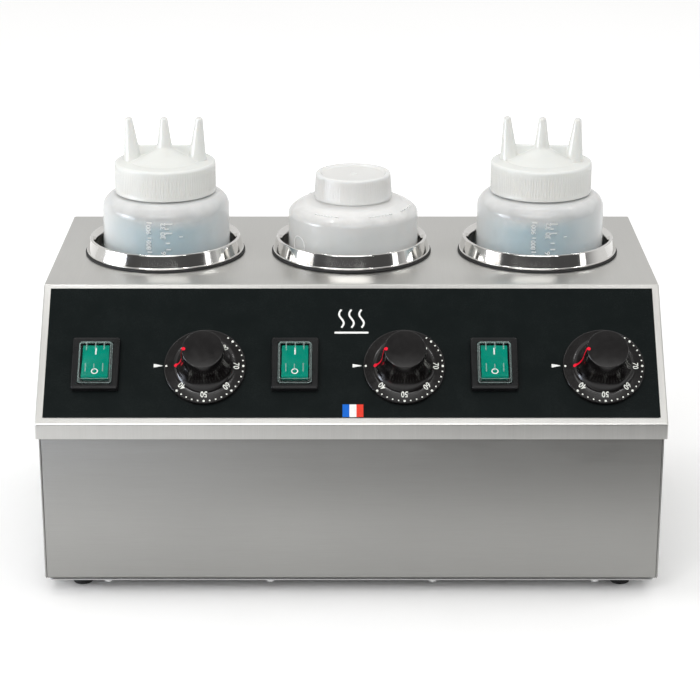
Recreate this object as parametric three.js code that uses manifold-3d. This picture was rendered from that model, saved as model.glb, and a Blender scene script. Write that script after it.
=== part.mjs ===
// Three-station warmer for squeeze bottles of sauce, as an assembly of separate pieces.
// Millimetres, +Z up, the operator stands at -Y. The origin is the centre of the bounding box, at the feet.
import * as THREE from "three";
import { mergeVertices } from "three/addons/utils/BufferGeometryUtils.js";
import Module from "manifold-3d";

const wasm = await Module();
wasm.setup();

// ---- Driving dimensions -------------------------------------------------------------------------
const SHEET = 1; // stainless sheet thickness
const GAP = 0.3; // between pieces that touch
const RUNNING_CLEARANCE = 0.09; // of a shaft in its bearing
const COVER_WIDTH = 400;
const COVER_DEPTH = 238;
const SLOPE_LENGTH = 100; // of the control face, which leans back 45 degrees
const SLOPE_RUN = SLOPE_LENGTH * Math.SQRT1_2;
const LIP = 10; // upright drip edge below the control face
const BEND = 2; // outer radius of the folds
const FOOT_HEIGHT = 10;
const PANEL_BOTTOM = FOOT_HEIGHT + SHEET + GAP; // the side walls stand on the bottom plate
const TOP = 190; // height of the top plate
const GLAND_REACH = 16; // the cable gland stands this far behind the cover
const LOWER_SIDE_INSET = 1.8; // the lower walls stand inside the cover
const LOWER_FRONT_INSET = 3;
const FLANGE = 12;

const STATIONS = [-1, 0, 1];
const STATION_PITCH = 127;
const WELL_BEHIND_FOLD = 78; // from the fold between top and control face back to a well's axis
const SWITCH_ROW = 59.5; // down the control face to the middles of the switches
const KNOB_ROW = 61; // and to the axes of the knobs
const SWITCH_OFFSET = -36; // from a station's centre
const KNOB_OFFSET = 33.6;

const COVER_FRONT = -(COVER_DEPTH + GLAND_REACH) / 2;
const COVER_REAR = COVER_FRONT + COVER_DEPTH;
const FOLD_Y = COVER_FRONT + SLOPE_RUN; // where the control face meets the top
const LIP_TOP = TOP - SLOPE_RUN;
const LIP_BOTTOM = LIP_TOP - LIP;
const WELL_Y = FOLD_Y + WELL_BEHIND_FOLD;
const HALF_WIDTH = COVER_WIDTH / 2;

const HOLE_RADIUS = 50; // in the top plate, for a well
const WELL_RADIUS = 48; // outside of the pot
const WELL_FLOOR = TOP - 161;
const BOTTLE_RADIUS = 42.8;
const PLAIN_BOTTLE_RADIUS = 43.9;
const BOTTLE_SHIFT = 1.2; // the bottles stand this far right of the middle of their wells

const WELL_SIDES = 28; // flats round each well and whatever is fitted round it
const BOTTLE_SIDES = 24;
const KNOB_SIDES = 24;

// ---- Materials ----------------------------------------------------------------------------------
function finish(color, roughness, metalness, opacity = 1) {
  return new THREE.MeshStandardMaterial({
    color,
    roughness,
    metalness,
    opacity,
    transparent: opacity < 1,
  });
}
const brushedSteel = finish(0xb4b3ae, 0.38, 1);
const polishedSteel = finish(0xd0d0d0, 0.08, 1);
const galvanised = finish(0x9a9c9c, 0.5, 1);
const blackFilm = finish(0x101312, 0.35, 0);
const blackPlastic = finish(0x17171a, 0.4, 0);
const blackRubber = finish(0x111111, 0.8, 0);
const greyPlastic = finish(0x4a4d50, 0.6, 0);
const greenPlastic = finish(0x00876a, 0.3, 0);
const clearPlastic = finish(0xdfe6e4, 0.1, 0, 0.3);
const milkyPlastic = finish(0xe4e8e8, 0.35, 0, 0.8);
const whitePlastic = finish(0xeceeea, 0.4, 0);
const brass = finish(0xb08d4a, 0.35, 1);
const mica = finish(0xa8a49a, 0.45, 1);

// ---- Solids -------------------------------------------------------------------------------------
function solidOf(geometry) {
  const flat = geometry.index ? geometry.toNonIndexed() : geometry;
  const bare = new THREE.BufferGeometry();
  bare.setAttribute("position", flat.getAttribute("position"));
  const merged = mergeVertices(bare, 1e-4);
  return new wasm.Manifold(
    new wasm.Mesh({
      numProp: 3,
      vertProperties: merged.attributes.position.array,
      triVerts: new Uint32Array(merged.index.array),
    }),
  );
}

function geometryOf(solid) {
  const made = solid.getMesh();
  const geometry = new THREE.BufferGeometry();
  geometry.setAttribute("position", new THREE.BufferAttribute(made.vertProperties, 3));
  geometry.setIndex(new THREE.BufferAttribute(made.triVerts, 1));
  return geometry;
}

const joined = (first, ...others) => others.reduce((sum, next) => sum.add(next), first);
const cutBy = (body, ...tools) => tools.reduce((rest, tool) => rest.subtract(tool), body);

function block(x0, x1, y0, y1, z0, z1) {
  const box = new THREE.BoxGeometry(x1 - x0, y1 - y0, z1 - z0);
  return solidOf(box.translate((x0 + x1) / 2, (y0 + y1) / 2, (z0 + z1) / 2));
}

// A solid of revolution about Z. The profile's [radius, height] points run up its outside.
function turned(profile, segments, x = 0, y = 0) {
  const points = profile.map(([r, z]) => new THREE.Vector2(r, z));
  return solidOf(new THREE.LatheGeometry(points, segments).rotateX(Math.PI / 2).translate(x, y, 0));
}

function rod(radius, z0, z1, segments, x = 0, y = 0) {
  return turned([[0, z0], [radius, z0], [radius, z1], [0, z1]], segments, x, y);
}

function ring(inner, outer, z0, z1, segments, x = 0, y = 0) {
  return turned([[inner, z0], [outer, z0], [outer, z1], [inner, z1], [inner, z0]], segments, x, y);
}

// An outline of [y, z] points carried along X.
function bar(outline, x0, x1) {
  const shape = new THREE.Shape(outline.map(([y, z]) => new THREE.Vector2(y, z)));
  const geometry = new THREE.ExtrudeGeometry(shape, { depth: x1 - x0, bevelEnabled: false });
  const turn = new THREE.Matrix4().makeBasis(
    new THREE.Vector3(0, 1, 0),
    new THREE.Vector3(0, 0, 1),
    new THREE.Vector3(1, 0, 0),
  );
  return solidOf(geometry.applyMatrix4(turn).translate(x0, 0, 0));
}

// A round tube along a curve through the points, with closed ends.
function tube(points, radius, sides, steps) {
  const circle = new THREE.Shape();
  for (let side = 0; side < sides; side++) {
    const angle = (side / sides) * 2 * Math.PI;
    const corner = [radius * Math.cos(angle), radius * Math.sin(angle)];
    side ? circle.lineTo(...corner) : circle.moveTo(...corner);
  }
  const path = new THREE.CatmullRomCurve3(points.map((p) => new THREE.Vector3(...p)));
  return solidOf(new THREE.ExtrudeGeometry(circle, { steps, extrudePath: path, bevelEnabled: false }));
}

// Points of an arc, angles in degrees, as [first, second] coordinates.
function arc(centreA, centreB, radius, from, to, steps, radiusB = radius) {
  return Array.from({ length: steps + 1 }, (_, step) => {
    const angle = THREE.MathUtils.degToRad(from + ((to - from) * step) / steps);
    return [centreA + radius * Math.cos(angle), centreB + radiusB * Math.sin(angle)];
  });
}

const warmer = new THREE.Group();
// In this group +Z stands out of the control face, +Y runs up it, and its top fold is at the origin.
const controlFace = new THREE.Group();
controlFace.position.set(0, FOLD_Y, TOP);
controlFace.rotation.x = Math.PI / 4;
warmer.add(controlFace);

function place(name, solid, material, parent = warmer) {
  const mesh = new THREE.Mesh(geometryOf(solid), material);
  mesh.name = name;
  parent.add(mesh);
  return mesh;
}

// ---- Casing -------------------------------------------------------------------------------------
const switchX = (station) => station * STATION_PITCH + SWITCH_OFFSET;
const knobX = (station) => station * STATION_PITCH + KNOB_OFFSET;
const SWITCH_CUTOUT = { x: 11, y: 15 }; // half sizes
const SHAFT_HOLE = 5;

// A solid given in the control face's own axes, moved to where it lies in the warmer.
function onFace(solid) {
  return solidOf(geometryOf(solid).rotateX(Math.PI / 4).translate(0, FOLD_Y, TOP));
}

function faceCutouts() {
  const cuts = STATIONS.flatMap((station) => [
    block(
      switchX(station) - SWITCH_CUTOUT.x,
      switchX(station) + SWITCH_CUTOUT.x,
      -SWITCH_ROW - SWITCH_CUTOUT.y,
      -SWITCH_ROW + SWITCH_CUTOUT.y,
      -4,
      4,
    ),
    rod(SHAFT_HOLE, -4, 4, 16, knobX(station), -KNOB_ROW),
  ]);
  return joined(...cuts);
}

// The cover's side view, set in by the given amount, with its folds rounded where they are outside.
function coverOutline(inset, bottom) {
  const corner = inset * Math.tan(Math.PI / 8);
  const front = COVER_FRONT + inset;
  const rear = COVER_REAR - inset;
  const top = TOP - inset;
  const radius = BEND - inset;
  const set = radius * Math.tan(Math.PI / 8); // from a 45 degree fold back to the start of its arc
  return [
    [front, bottom],
    ...arc(front + radius, LIP_TOP - corner - set, radius, 180, 135, 2),
    ...arc(FOLD_Y + corner + set, top - radius, radius, 135, 90, 2),
    ...arc(rear - radius, top - radius, radius, 90, 0, 3),
    [rear, bottom],
  ].reverse();
}

function topCover() {
  const shell = bar(coverOutline(0, LIP_BOTTOM), -HALF_WIDTH, HALF_WIDTH).subtract(
    bar(coverOutline(SHEET, LIP_BOTTOM - 5), -HALF_WIDTH + SHEET, HALF_WIDTH - SHEET),
  );
  const wells = STATIONS.map((station) =>
    rod(HOLE_RADIUS, TOP - 5, TOP + 5, WELL_SIDES, station * STATION_PITCH, WELL_Y),
  );
  return cutBy(shell, ...wells, onFace(faceCutouts()), ...coverScrewHoles());
}

const OVERLAY = { side: 4.8, top: 3.5, bottom: 4.6, thickness: 0.4 };
function controlOverlay() {
  const film = block(
    -HALF_WIDTH + OVERLAY.side,
    HALF_WIDTH - OVERLAY.side,
    -SLOPE_LENGTH + OVERLAY.bottom,
    -OVERLAY.top,
    GAP,
    GAP + OVERLAY.thickness,
  );
  return film.subtract(faceCutouts());
}
const FACE_HEIGHT = GAP + OVERLAY.thickness; // the film's outer side, which the controls stand on

const LOWER_TOP = LIP_TOP - 1;
const WALL_X = HALF_WIDTH - LOWER_SIDE_INSET;
const WALL_FRONT = COVER_FRONT + LOWER_FRONT_INSET;
const WALL_REAR = COVER_REAR - LOWER_FRONT_INSET;
const PLATE_SCREW_X = [-158, -52.7, 52.7, 158];
const PLATE_SCREW_SETBACK = 6;
const COVER_SCREW_X = [-120, 120];
const COVER_SCREW_Z = LIP_BOTTOM + 5;
const GLAND = { x: 158, z: 44, thread: 7.5 };

const plateScrewHoles = () =>
  PLATE_SCREW_X.map((x) => rod(2.3, 0, 30, 10, x, WALL_FRONT + PLATE_SCREW_SETBACK));

// Rods along Y through the rear of the cover and of the lower casing.
function rearRod(radius, x, z, from, to, segments) {
  return solidOf(geometryOf(rod(radius, -to, -from, segments)).rotateX(Math.PI / 2).translate(x, 0, z));
}
function coverScrewHoles() {
  return COVER_SCREW_X.map((x) => rearRod(2.3, x, COVER_SCREW_Z, COVER_REAR - 8, COVER_REAR + 4, 10));
}

const inOrder = (a, b) => [Math.min(a, b), Math.max(a, b)];

// A wall across the front or rear, folded inwards at its foot.
function crossWall(outer, inward) {
  const half = WALL_X - SHEET - GAP;
  const across = inOrder(outer, outer + inward * SHEET);
  const acrossFoot = inOrder(outer, outer + inward * FLANGE);
  const wall = block(-half, half, ...across, PANEL_BOTTOM, LOWER_TOP);
  const foot = block(-half, half, ...acrossFoot, PANEL_BOTTOM, PANEL_BOTTOM + SHEET);
  return wall.add(foot);
}

function sideWall(side) {
  const across = inOrder(side * WALL_X, side * (WALL_X - SHEET));
  const acrossFoot = inOrder(side * WALL_X, side * (WALL_X - FLANGE));
  const clear = FLANGE + 2; // the flange stops short of the front and rear flanges
  const along = [WALL_FRONT + clear, WALL_REAR - clear];
  const wall = block(...across, WALL_FRONT, WALL_REAR, PANEL_BOTTOM, LOWER_TOP);
  const foot = block(...acrossFoot, ...along, PANEL_BOTTOM, PANEL_BOTTOM + SHEET);
  return wall.add(foot);
}

function bottomPlate() {
  const margin = 2.5;
  const plate = block(
    -WALL_X + margin,
    WALL_X - margin,
    WALL_FRONT + 0.8,
    WALL_REAR - 0.8,
    FOOT_HEIGHT,
    FOOT_HEIGHT + SHEET,
  );
  return cutBy(plate, ...plateScrewHoles());
}

place("top_cover", topCover(), brushedSteel);
place("front_panel", cutBy(crossWall(WALL_FRONT, 1), ...plateScrewHoles()), brushedSteel);
place(
  "rear_panel",
  cutBy(
    crossWall(WALL_REAR, -1),
    ...coverScrewHoles(),
    rearRod(GLAND.thread + GAP, GLAND.x, GLAND.z, WALL_REAR - 5, WALL_REAR + 5, 20),
  ),
  brushedSteel,
);
place("left_side_panel", sideWall(-1), brushedSteel);
place("right_side_panel", sideWall(1), brushedSteel);
place("bottom_plate", bottomPlate(), galvanised);
place("control_overlay", controlOverlay(), blackFilm, controlFace);

// ---- Feet and fasteners -------------------------------------------------------------------------
const FOOT = { x: 176.4, inset: 21.8, top: 8, bottom: 6.2 };
[-1, 1].forEach((side, column) => {
  [WALL_FRONT + FOOT.inset, WALL_REAR - FOOT.inset].forEach((y, row) => {
    const profile = [
      [0, 0],
      [FOOT.bottom - 0.6, 0],
      [FOOT.bottom, 0.6],
      [FOOT.top, FOOT_HEIGHT - 2],
      [FOOT.top, FOOT_HEIGHT - GAP],
      [0, FOOT_HEIGHT - GAP],
    ];
    place(`foot_${column * 2 + row + 1}`, turned(profile, 16, side * FOOT.x, y), blackRubber);
  });
});

// A pan-head screw standing on its head: its shank runs up Z from under the head's seat.
function panHeadScrew(seat, length) {
  const head = { radius: 3.6, height: 2.6 };
  const shank = 1.9;
  return turned(
    [
      [0, seat - head.height],
      [head.radius * 0.62, seat - head.height * 0.94],
      [head.radius * 0.92, seat - head.height * 0.55],
      [head.radius, seat],
      [shank, seat],
      [shank, seat + length],
      [0, seat + length],
    ],
    10,
  );
}
PLATE_SCREW_X.forEach((x, index) => {
  const screw = place(`bottom_screw_${index + 1}`, panHeadScrew(-GAP, 8), polishedSteel);
  screw.position.set(x, WALL_FRONT + PLATE_SCREW_SETBACK, FOOT_HEIGHT);
});
COVER_SCREW_X.forEach((x, index) => {
  const screw = place(`cover_screw_${index + 1}`, panHeadScrew(-GAP, 7), polishedSteel);
  screw.position.set(x, COVER_REAR, COVER_SCREW_Z);
  screw.rotation.x = Math.PI / 2; // its shank points to -Y, into the casing
});

// ---- Wells and their heaters --------------------------------------------------------------------
const COLLAR = { top: TOP + 11.3, rim: 51, foot: 53.2, flange: 54, mouth: 48.7 };
const GASKET = { inner: 50.6, outer: 54.3, thickness: 1.2 };

// Pot and collar are one drawn sheet: floor, wall, rolled rim, and a skirt that flares to a flange.
function wellPot(x) {
  const inside = WELL_RADIUS - SHEET;
  const flangeBottom = TOP + GASKET.thickness + 2 * GAP;
  const profile = [
    [0, WELL_FLOOR - SHEET],
    [WELL_RADIUS - 4, WELL_FLOOR - SHEET],
    [WELL_RADIUS, WELL_FLOOR + 3],
    [WELL_RADIUS, COLLAR.top - 2.2],
    [COLLAR.rim - 0.8, COLLAR.top - 1.4],
    [COLLAR.foot - SHEET, flangeBottom],
    [COLLAR.flange, flangeBottom],
    [COLLAR.flange, flangeBottom + 0.8],
    [COLLAR.foot, flangeBottom + 1.3],
    [COLLAR.rim, COLLAR.top - 0.8],
    [COLLAR.rim - 0.8, COLLAR.top],
    [COLLAR.mouth, COLLAR.top - 0.3],
    [inside, COLLAR.top - 3],
    [inside, WELL_FLOOR],
    [0, WELL_FLOOR],
  ];
  return turned(profile, WELL_SIDES, x, WELL_Y);
}

const HEATER = {
  bottom: WELL_FLOOR + 10,
  top: WELL_FLOOR + 65,
  inner: WELL_RADIUS + GAP,
  thickness: 2,
};

// A band with a clamping slit at the front, and an ear with a screw boss each side of it.
function heaterBand(x) {
  const outer = HEATER.inner + HEATER.thickness;
  const slit = 3;
  const earReach = 9;
  const front = WELL_Y - outer;
  const middle = (HEATER.bottom + HEATER.top) / 2;
  const ears = [-1, 1].map((side) => {
    const across = inOrder(x + side * slit, x + side * (slit + 2));
    return block(...across, front - earReach, front + 2.2, middle - 15, middle + 15);
  });
  const band = ring(HEATER.inner, outer, HEATER.bottom, HEATER.top, WELL_SIDES, x, WELL_Y).subtract(
    block(x - slit, x + slit, front - 5, front + 10, HEATER.bottom - 5, HEATER.top + 5),
  );
  const clampScrew = new THREE.CylinderGeometry(1.8, 1.8, 18, 10).rotateZ(Math.PI / 2);
  clampScrew.translate(x, front - earReach / 2, middle);
  return joined(band, ...ears, solidOf(clampScrew));
}

const BULB = { radius: 3.1, bottom: TOP - 88, top: TOP - 26, y: WELL_Y - WELL_RADIUS - GAP - 3.4 };
const THERMOSTAT = { x: 19, y: 16, front: -SHEET - GAP, depth: 24 };

// The sensing bulb against the pot, and the thin capillary from it to the back of the thermostat.
function sensorBulb(x) {
  const back = THERMOSTAT.front - THERMOSTAT.depth - GAP - 0.4;
  const endY = FOLD_Y - KNOB_ROW * Math.SQRT1_2 - back * Math.SQRT1_2;
  const endZ = TOP - KNOB_ROW * Math.SQRT1_2 + back * Math.SQRT1_2;
  const bulb = rod(BULB.radius, BULB.bottom, BULB.top, 12, x, BULB.y);
  const capillary = tube(
    [
      [x, BULB.y, BULB.top - 3],
      [x, BULB.y - 0.5, BULB.top + 8],
      [x + 6, BULB.y - 10, BULB.top + 12],
      [x + 18, BULB.y - 20, BULB.top - 2],
      [x + 28, endY + 16, endZ + 14],
      [x + KNOB_OFFSET, endY + 4, endZ - 4],
      [x + KNOB_OFFSET, endY, endZ],
    ],
    1,
    6,
    18,
  );
  return bulb.add(capillary);
}

STATIONS.forEach((station, index) => {
  const x = station * STATION_PITCH;
  const number = index + 1;
  place(`well_${number}`, wellPot(x), polishedSteel);
  place(
    `well_gasket_${number}`,
    ring(GASKET.inner, GASKET.outer, TOP + GAP, TOP + GAP + GASKET.thickness, WELL_SIDES, x, WELL_Y),
    blackRubber,
  );
  place(`heater_band_${number}`, heaterBand(x), mica);
  place(`sensor_bulb_${number}`, sensorBulb(x), brass);
});

// ---- Controls -----------------------------------------------------------------------------------
const SPINDLE = { radius: 3, back: -10, front: 19 };

function thermostatBody() {
  const back = THERMOSTAT.front - THERMOSTAT.depth;
  const body = block(-THERMOSTAT.x, THERMOSTAT.x, -THERMOSTAT.y, THERMOSTAT.y, back, THERMOSTAT.front);
  const notches = [-1, 1].map((side) =>
    block(side * THERMOSTAT.x - 5, side * THERMOSTAT.x + 5, -20, 20, back - 1, THERMOSTAT.front - 8),
  );
  const bore = rod(SPINDLE.radius + RUNNING_CLEARANCE, SPINDLE.back - GAP, 0, 16);
  return cutBy(body, ...notches, bore);
}

const KNOB = { skirt: 26, bottom: FACE_HEIGHT + GAP, rim: 2.6, crown: 13.1, height: 29.5 };
const FLARE = { foot: 20.2, waist: 14, rise: 12 }; // of a knob's skirt into its grip

// A thick dial skirt that sweeps up into a tall tapered grip, hollow inside round a hub for the spindle.
function knob() {
  const base = KNOB.bottom;
  const deck = base + KNOB.rim + 0.5;
  const flare = [0, 22, 45, 90].map((degrees) => {
    const angle = THREE.MathUtils.degToRad(degrees);
    const inward = (FLARE.foot - FLARE.waist) * Math.sin(angle);
    return [FLARE.foot - inward, deck + FLARE.rise * (1 - Math.cos(angle))];
  });
  const profile = [
    [SPINDLE.radius + 0.05, base],
    [6, base],
    [6, base + 20],
    [11, base + 20],
    [12.2, base],
    [KNOB.skirt, base],
    [KNOB.skirt, base + KNOB.rim],
    [KNOB.skirt - 0.6, deck],
    ...flare,
    [KNOB.crown + 0.2, KNOB.height - 1],
    [KNOB.crown - 0.8, KNOB.height],
    [0, KNOB.height],
    [0, SPINDLE.front + GAP],
    [SPINDLE.radius + 0.05, SPINDLE.front + GAP],
    [SPINDLE.radius + 0.05, base],
  ];
  return turned(profile, KNOB_SIDES);
}

const BEZEL = { x: 15, y: 18.1, top: 6 };
const SWITCH_BODY = { x: 10.7, y: 14.7, back: -24 };
const TAB_LENGTH = 8; // of a switch's terminals
const ROCKER_BAY = { x: 9.3, y: 13.6, floor: -5 };
const PIVOT_HEIGHT = -1;
const TRUNNION = 1.5;
const ROCK_ANGLE = 17; // full travel between off and on

function switchHousing() {
  const bezel = block(-BEZEL.x, BEZEL.x, -BEZEL.y, BEZEL.y, FACE_HEIGHT + GAP, BEZEL.top);
  const body = block(
    -SWITCH_BODY.x,
    SWITCH_BODY.x,
    -SWITCH_BODY.y,
    SWITCH_BODY.y,
    SWITCH_BODY.back,
    FACE_HEIGHT + 2,
  );
  const { back } = SWITCH_BODY;
  const tabs = [-5, 5].flatMap((x) =>
    [-8, 8].map((y) => block(x - 0.5, x + 0.5, y - 3, y + 3, back - TAB_LENGTH, back + 2)),
  );
  const bay = block(
    -ROCKER_BAY.x,
    ROCKER_BAY.x,
    -ROCKER_BAY.y,
    ROCKER_BAY.y,
    ROCKER_BAY.floor,
    BEZEL.top + 5,
  );
  const bearing = TRUNNION + RUNNING_CLEARANCE;
  const bearings = new THREE.CylinderGeometry(bearing, bearing, 20.6, 16).rotateZ(Math.PI / 2);
  bearings.translate(0, 0, PIVOT_HEIGHT);
  return cutBy(joined(bezel, body, ...tabs), bay, solidOf(bearings));
}

// Two shallow faces that meet over the pivot, drawn level and then tipped to on.
function switchRocker() {
  const outline = [
    [-11.8, 9.5],
    [-12.4, 7.2],
    [-9.4, -2],
    [9.4, -2],
    [12.4, 7.2],
    [11.8, 9.5],
    [0, 8.5],
  ];
  const half = 8.9;
  const trunnions = new THREE.CylinderGeometry(TRUNNION, TRUNNION, 20, 16).rotateZ(Math.PI / 2);
  const level = bar(outline, -half, half).add(solidOf(trunnions));
  const tip = THREE.MathUtils.degToRad(ROCK_ANGLE / 2);
  return solidOf(geometryOf(level).rotateX(-tip).translate(0, 0, PIVOT_HEIGHT));
}

// The clear splash cap, open at the back, that shields the rocker.
function switchCover() {
  const outer = { x: 11, y: 14.9, top: 13.2 };
  const wall = 0.8;
  const bottom = BEZEL.top + GAP;
  const shell = bar(
    [
      [-outer.y, bottom],
      [outer.y, bottom],
      [outer.y - 0.5, outer.top - 1],
      [outer.y - 1.5, outer.top],
      [-outer.y + 1.5, outer.top],
      [-outer.y + 0.5, outer.top - 1],
    ],
    -outer.x,
    outer.x,
  );
  const inside = { x: outer.x - wall, y: outer.y - wall - 0.5, top: outer.top - wall };
  return shell.subtract(block(-inside.x, inside.x, -inside.y, inside.y, 0, inside.top));
}

STATIONS.forEach((station, index) => {
  const number = index + 1;
  const atSwitch = [
    place(`switch_housing_${number}`, switchHousing(), blackPlastic, controlFace),
    place(`switch_rocker_${number}`, switchRocker(), greenPlastic, controlFace),
    place(`switch_cover_${number}`, switchCover(), clearPlastic, controlFace),
  ];
  atSwitch.forEach((mesh) => mesh.position.set(switchX(station), -SWITCH_ROW, 0));
  const spindle = rod(SPINDLE.radius, SPINDLE.back, SPINDLE.front, 16);
  const atKnob = [
    place(`knob_${number}`, knob(), blackPlastic, controlFace),
    place(`knob_spindle_${number}`, spindle, galvanised, controlFace),
    place(`thermostat_${number}`, thermostatBody(), greyPlastic, controlFace),
  ];
  atKnob.forEach((mesh) => mesh.position.set(knobX(station), -KNOB_ROW, 0));
});

// ---- Bottles ------------------------------------------------------------------------------------
const BOTTLE_BOTTOM = WELL_FLOOR + GAP - TOP; // heights from here on are above the top plate
const WALL = 1.2;
const NOZZLE_BOTTLE = { shoulder: 31.5, neck: 31, neckStart: 42, neckTop: 56.3 };
const PLAIN_BOTTLE = { shoulder: 26.5, neck: 23.8, neckStart: 36, neckTop: 50.3 };

function bottleShell(radius, shoulderOutside, shoulderInside, neck) {
  return turned(
    [
      [0, BOTTLE_BOTTOM],
      [radius - 3, BOTTLE_BOTTOM],
      [radius, BOTTLE_BOTTOM + 3],
      ...shoulderOutside,
      [neck.neck, neck.neckStart],
      [neck.neck, neck.neckTop],
      [neck.neck - 1.8, neck.neckTop],
      ...shoulderInside,
      [radius - WALL, BOTTLE_BOTTOM + 3.4],
      [radius - 3.4, BOTTLE_BOTTOM + WALL],
      [0, BOTTLE_BOTTOM + WALL],
    ],
    BOTTLE_SIDES,
  );
}

function nozzleBottle() {
  const { shoulder, neck, neckStart } = NOZZLE_BOTTLE;
  const reach = BOTTLE_RADIUS - 33.8;
  const outside = arc(33.8, shoulder, reach, 0, 90, 4, neckStart - shoulder - 0.4);
  const inside = [
    [neck - 1.8, neckStart - 1],
    ...arc(33, shoulder, BOTTLE_RADIUS - WALL - 33, 75, 0, 3, neckStart - shoulder - 1.8),
  ];
  return bottleShell(BOTTLE_RADIUS, outside, inside, NOZZLE_BOTTLE);
}

function plainBottle() {
  const { shoulder, neck, neckStart } = PLAIN_BOTTLE;
  const outside = [
    ...arc(PLAIN_BOTTLE_RADIUS - 4.5, shoulder, 4.5, 0, 75, 3),
    [neck + 2.5, neckStart - 0.6],
  ];
  const inside = [
    [neck - 1.8, neckStart - 1],
    [neck + 2, neckStart - 2],
    ...arc(PLAIN_BOTTLE_RADIUS - 4.5, shoulder, 4.5 - WALL, 75, 0, 2),
  ];
  return bottleShell(PLAIN_BOTTLE_RADIUS, outside, inside, PLAIN_BOTTLE);
}

const NOZZLE_CAP = {
  radius: 34,
  bottom: 43,
  deck: 63.4,
  apex: 72.8,
  web: 74,
  tip: 92.8,
  spread: 23.6,
  lean: 2.1,
};
const SEAL = { thickness: 1.5 };

// One tapered nozzle, from its tip down to a foot sunk in the cap and set in by the lean.
function nozzle(x, foot, tipRadius, footRadius, lean, height) {
  const length = NOZZLE_CAP.tip - foot;
  const cone = rod(1, 0, 1, 10);
  const placed = geometryOf(cone);
  const position = placed.getAttribute("position");
  for (let index = 0; index < position.count; index++) {
    const share = position.getZ(index);
    const radius = footRadius + (tipRadius - footRadius) * share;
    const shift = x - lean * (1 - share);
    position.setX(index, position.getX(index) * radius + shift);
    position.setY(index, position.getY(index) * radius);
    position.setZ(index, foot + share * length + height * share);
  }
  return solidOf(placed);
}

function nozzleCap() {
  const { radius, bottom, deck, apex, web, spread, lean } = NOZZLE_CAP;
  const ceiling = NOZZLE_BOTTLE.neckTop + SEAL.thickness + 2 * GAP;
  const shell = turned(
    [
      [0, bottom],
      [radius, bottom],
      [radius, deck - 3.4],
      ...arc(radius - 3.4, deck - 3.4, 3.4, 45, 90, 1),
      [22, deck + 0.6],
      [4.8, apex],
      [0, apex],
    ],
    BOTTLE_SIDES,
  );
  const fin = block(-spread + 1, spread - 1, -2.6, 2.6, deck - 1, web);
  const foot = deck - 1;
  const sides = [-1, 1].map((side) => nozzle(side * spread, foot, 2.3, 6.2, side * lean, 0));
  const middle = nozzle(0, apex - 6, 2.3, 5.7, 0, 0);
  const bores = [-1, 1].map((side) => nozzle(side * spread, ceiling, 1.1, 4.6, side * lean, 1));
  const middleBore = nozzle(0, apex - 8, 1.1, 4.4, 0, 1);
  const cavity = turned(
    [
      [0, bottom - 1],
      [radius - 1.8, bottom - 1],
      [radius - 1.8, ceiling],
      [28, ceiling],
      [27, ceiling + 2.4],
      [20, ceiling + 3.4],
      [4, apex - 3],
      [0, apex - 3],
    ],
    BOTTLE_SIDES,
  );
  return cutBy(joined(shell, fin, ...sides, middle), cavity, ...bores, middleBore);
}

const PLAIN_CAP = { radius: 26.3, crown: 25.3, bottom: 38.7, top: 55.3 };
function plainCap() {
  const { radius, crown, bottom, top } = PLAIN_CAP;
  const ceiling = PLAIN_BOTTLE.neckTop + SEAL.thickness + 2 * GAP;
  return turned(
    [
      [radius - 1.7, bottom],
      [radius, bottom],
      [crown, top - 1.5],
      [crown - 1.5, top],
      [crown - 3.6, top],
      [crown - 4.2, top - 0.6],
      [0, top - 0.6],
      [0, ceiling],
      [radius - 1.9, ceiling],
      [radius - 1.7, bottom],
    ],
    BOTTLE_SIDES,
  );
}

STATIONS.forEach((station, index) => {
  const number = index + 1;
  const plain = station === 0;
  const neck = plain ? PLAIN_BOTTLE : NOZZLE_BOTTLE;
  const sealBottom = neck.neckTop + GAP;
  const sealTop = sealBottom + SEAL.thickness;
  const seal = ring(neck.neck - 4, neck.neck + 0.2, sealBottom, sealTop, BOTTLE_SIDES);
  const pieces = [
    place(`bottle_${number}`, plain ? plainBottle() : nozzleBottle(), milkyPlastic),
    place(`cap_${number}`, plain ? plainCap() : nozzleCap(), whitePlastic),
    place(`cap_seal_${number}`, seal, whitePlastic),
  ];
  pieces.forEach((mesh) => mesh.position.set(station * STATION_PITCH + BOTTLE_SHIFT, WELL_Y, TOP));
});

// ---- Mains inlet and wiring ---------------------------------------------------------------------
// Both turn about Z here, and are laid along Y where they are placed.
function hexagon(radius, z0, z1) {
  return rod(radius, z0, z1, 6);
}

function cableGland() {
  const start = WALL_REAR + GAP;
  const body = joined(
    rod(GLAND.thread, WALL_REAR - 8, start + 1, 20),
    hexagon(12, start, start + 5),
    turned(
      [
        [0, start + 4],
        [9.6, start + 4],
        [9.6, start + 11],
        ...arc(6, start + 12, 3.6, 0, 70, 3, COVER_REAR + GLAND_REACH - start - 12),
        [6, COVER_REAR + GLAND_REACH],
        [0, COVER_REAR + GLAND_REACH],
      ],
      20,
    ),
  );
  return body.subtract(rod(4, WALL_REAR - 20, COVER_REAR + GLAND_REACH + 5, 16));
}

function glandNut() {
  const face = WALL_REAR - SHEET - GAP;
  return hexagon(12, face - 4, face).subtract(rod(GLAND.thread + GAP, face - 10, face + 5, 20));
}

[
  ["cable_gland", cableGland(), blackPlastic],
  ["gland_nut", glandNut(), blackPlastic],
].forEach(([name, solid, material]) => {
  const mesh = place(name, solid, material);
  mesh.position.set(GLAND.x, 0, GLAND.z);
  mesh.rotation.x = -Math.PI / 2; // its own +Z points to +Y
});

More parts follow.
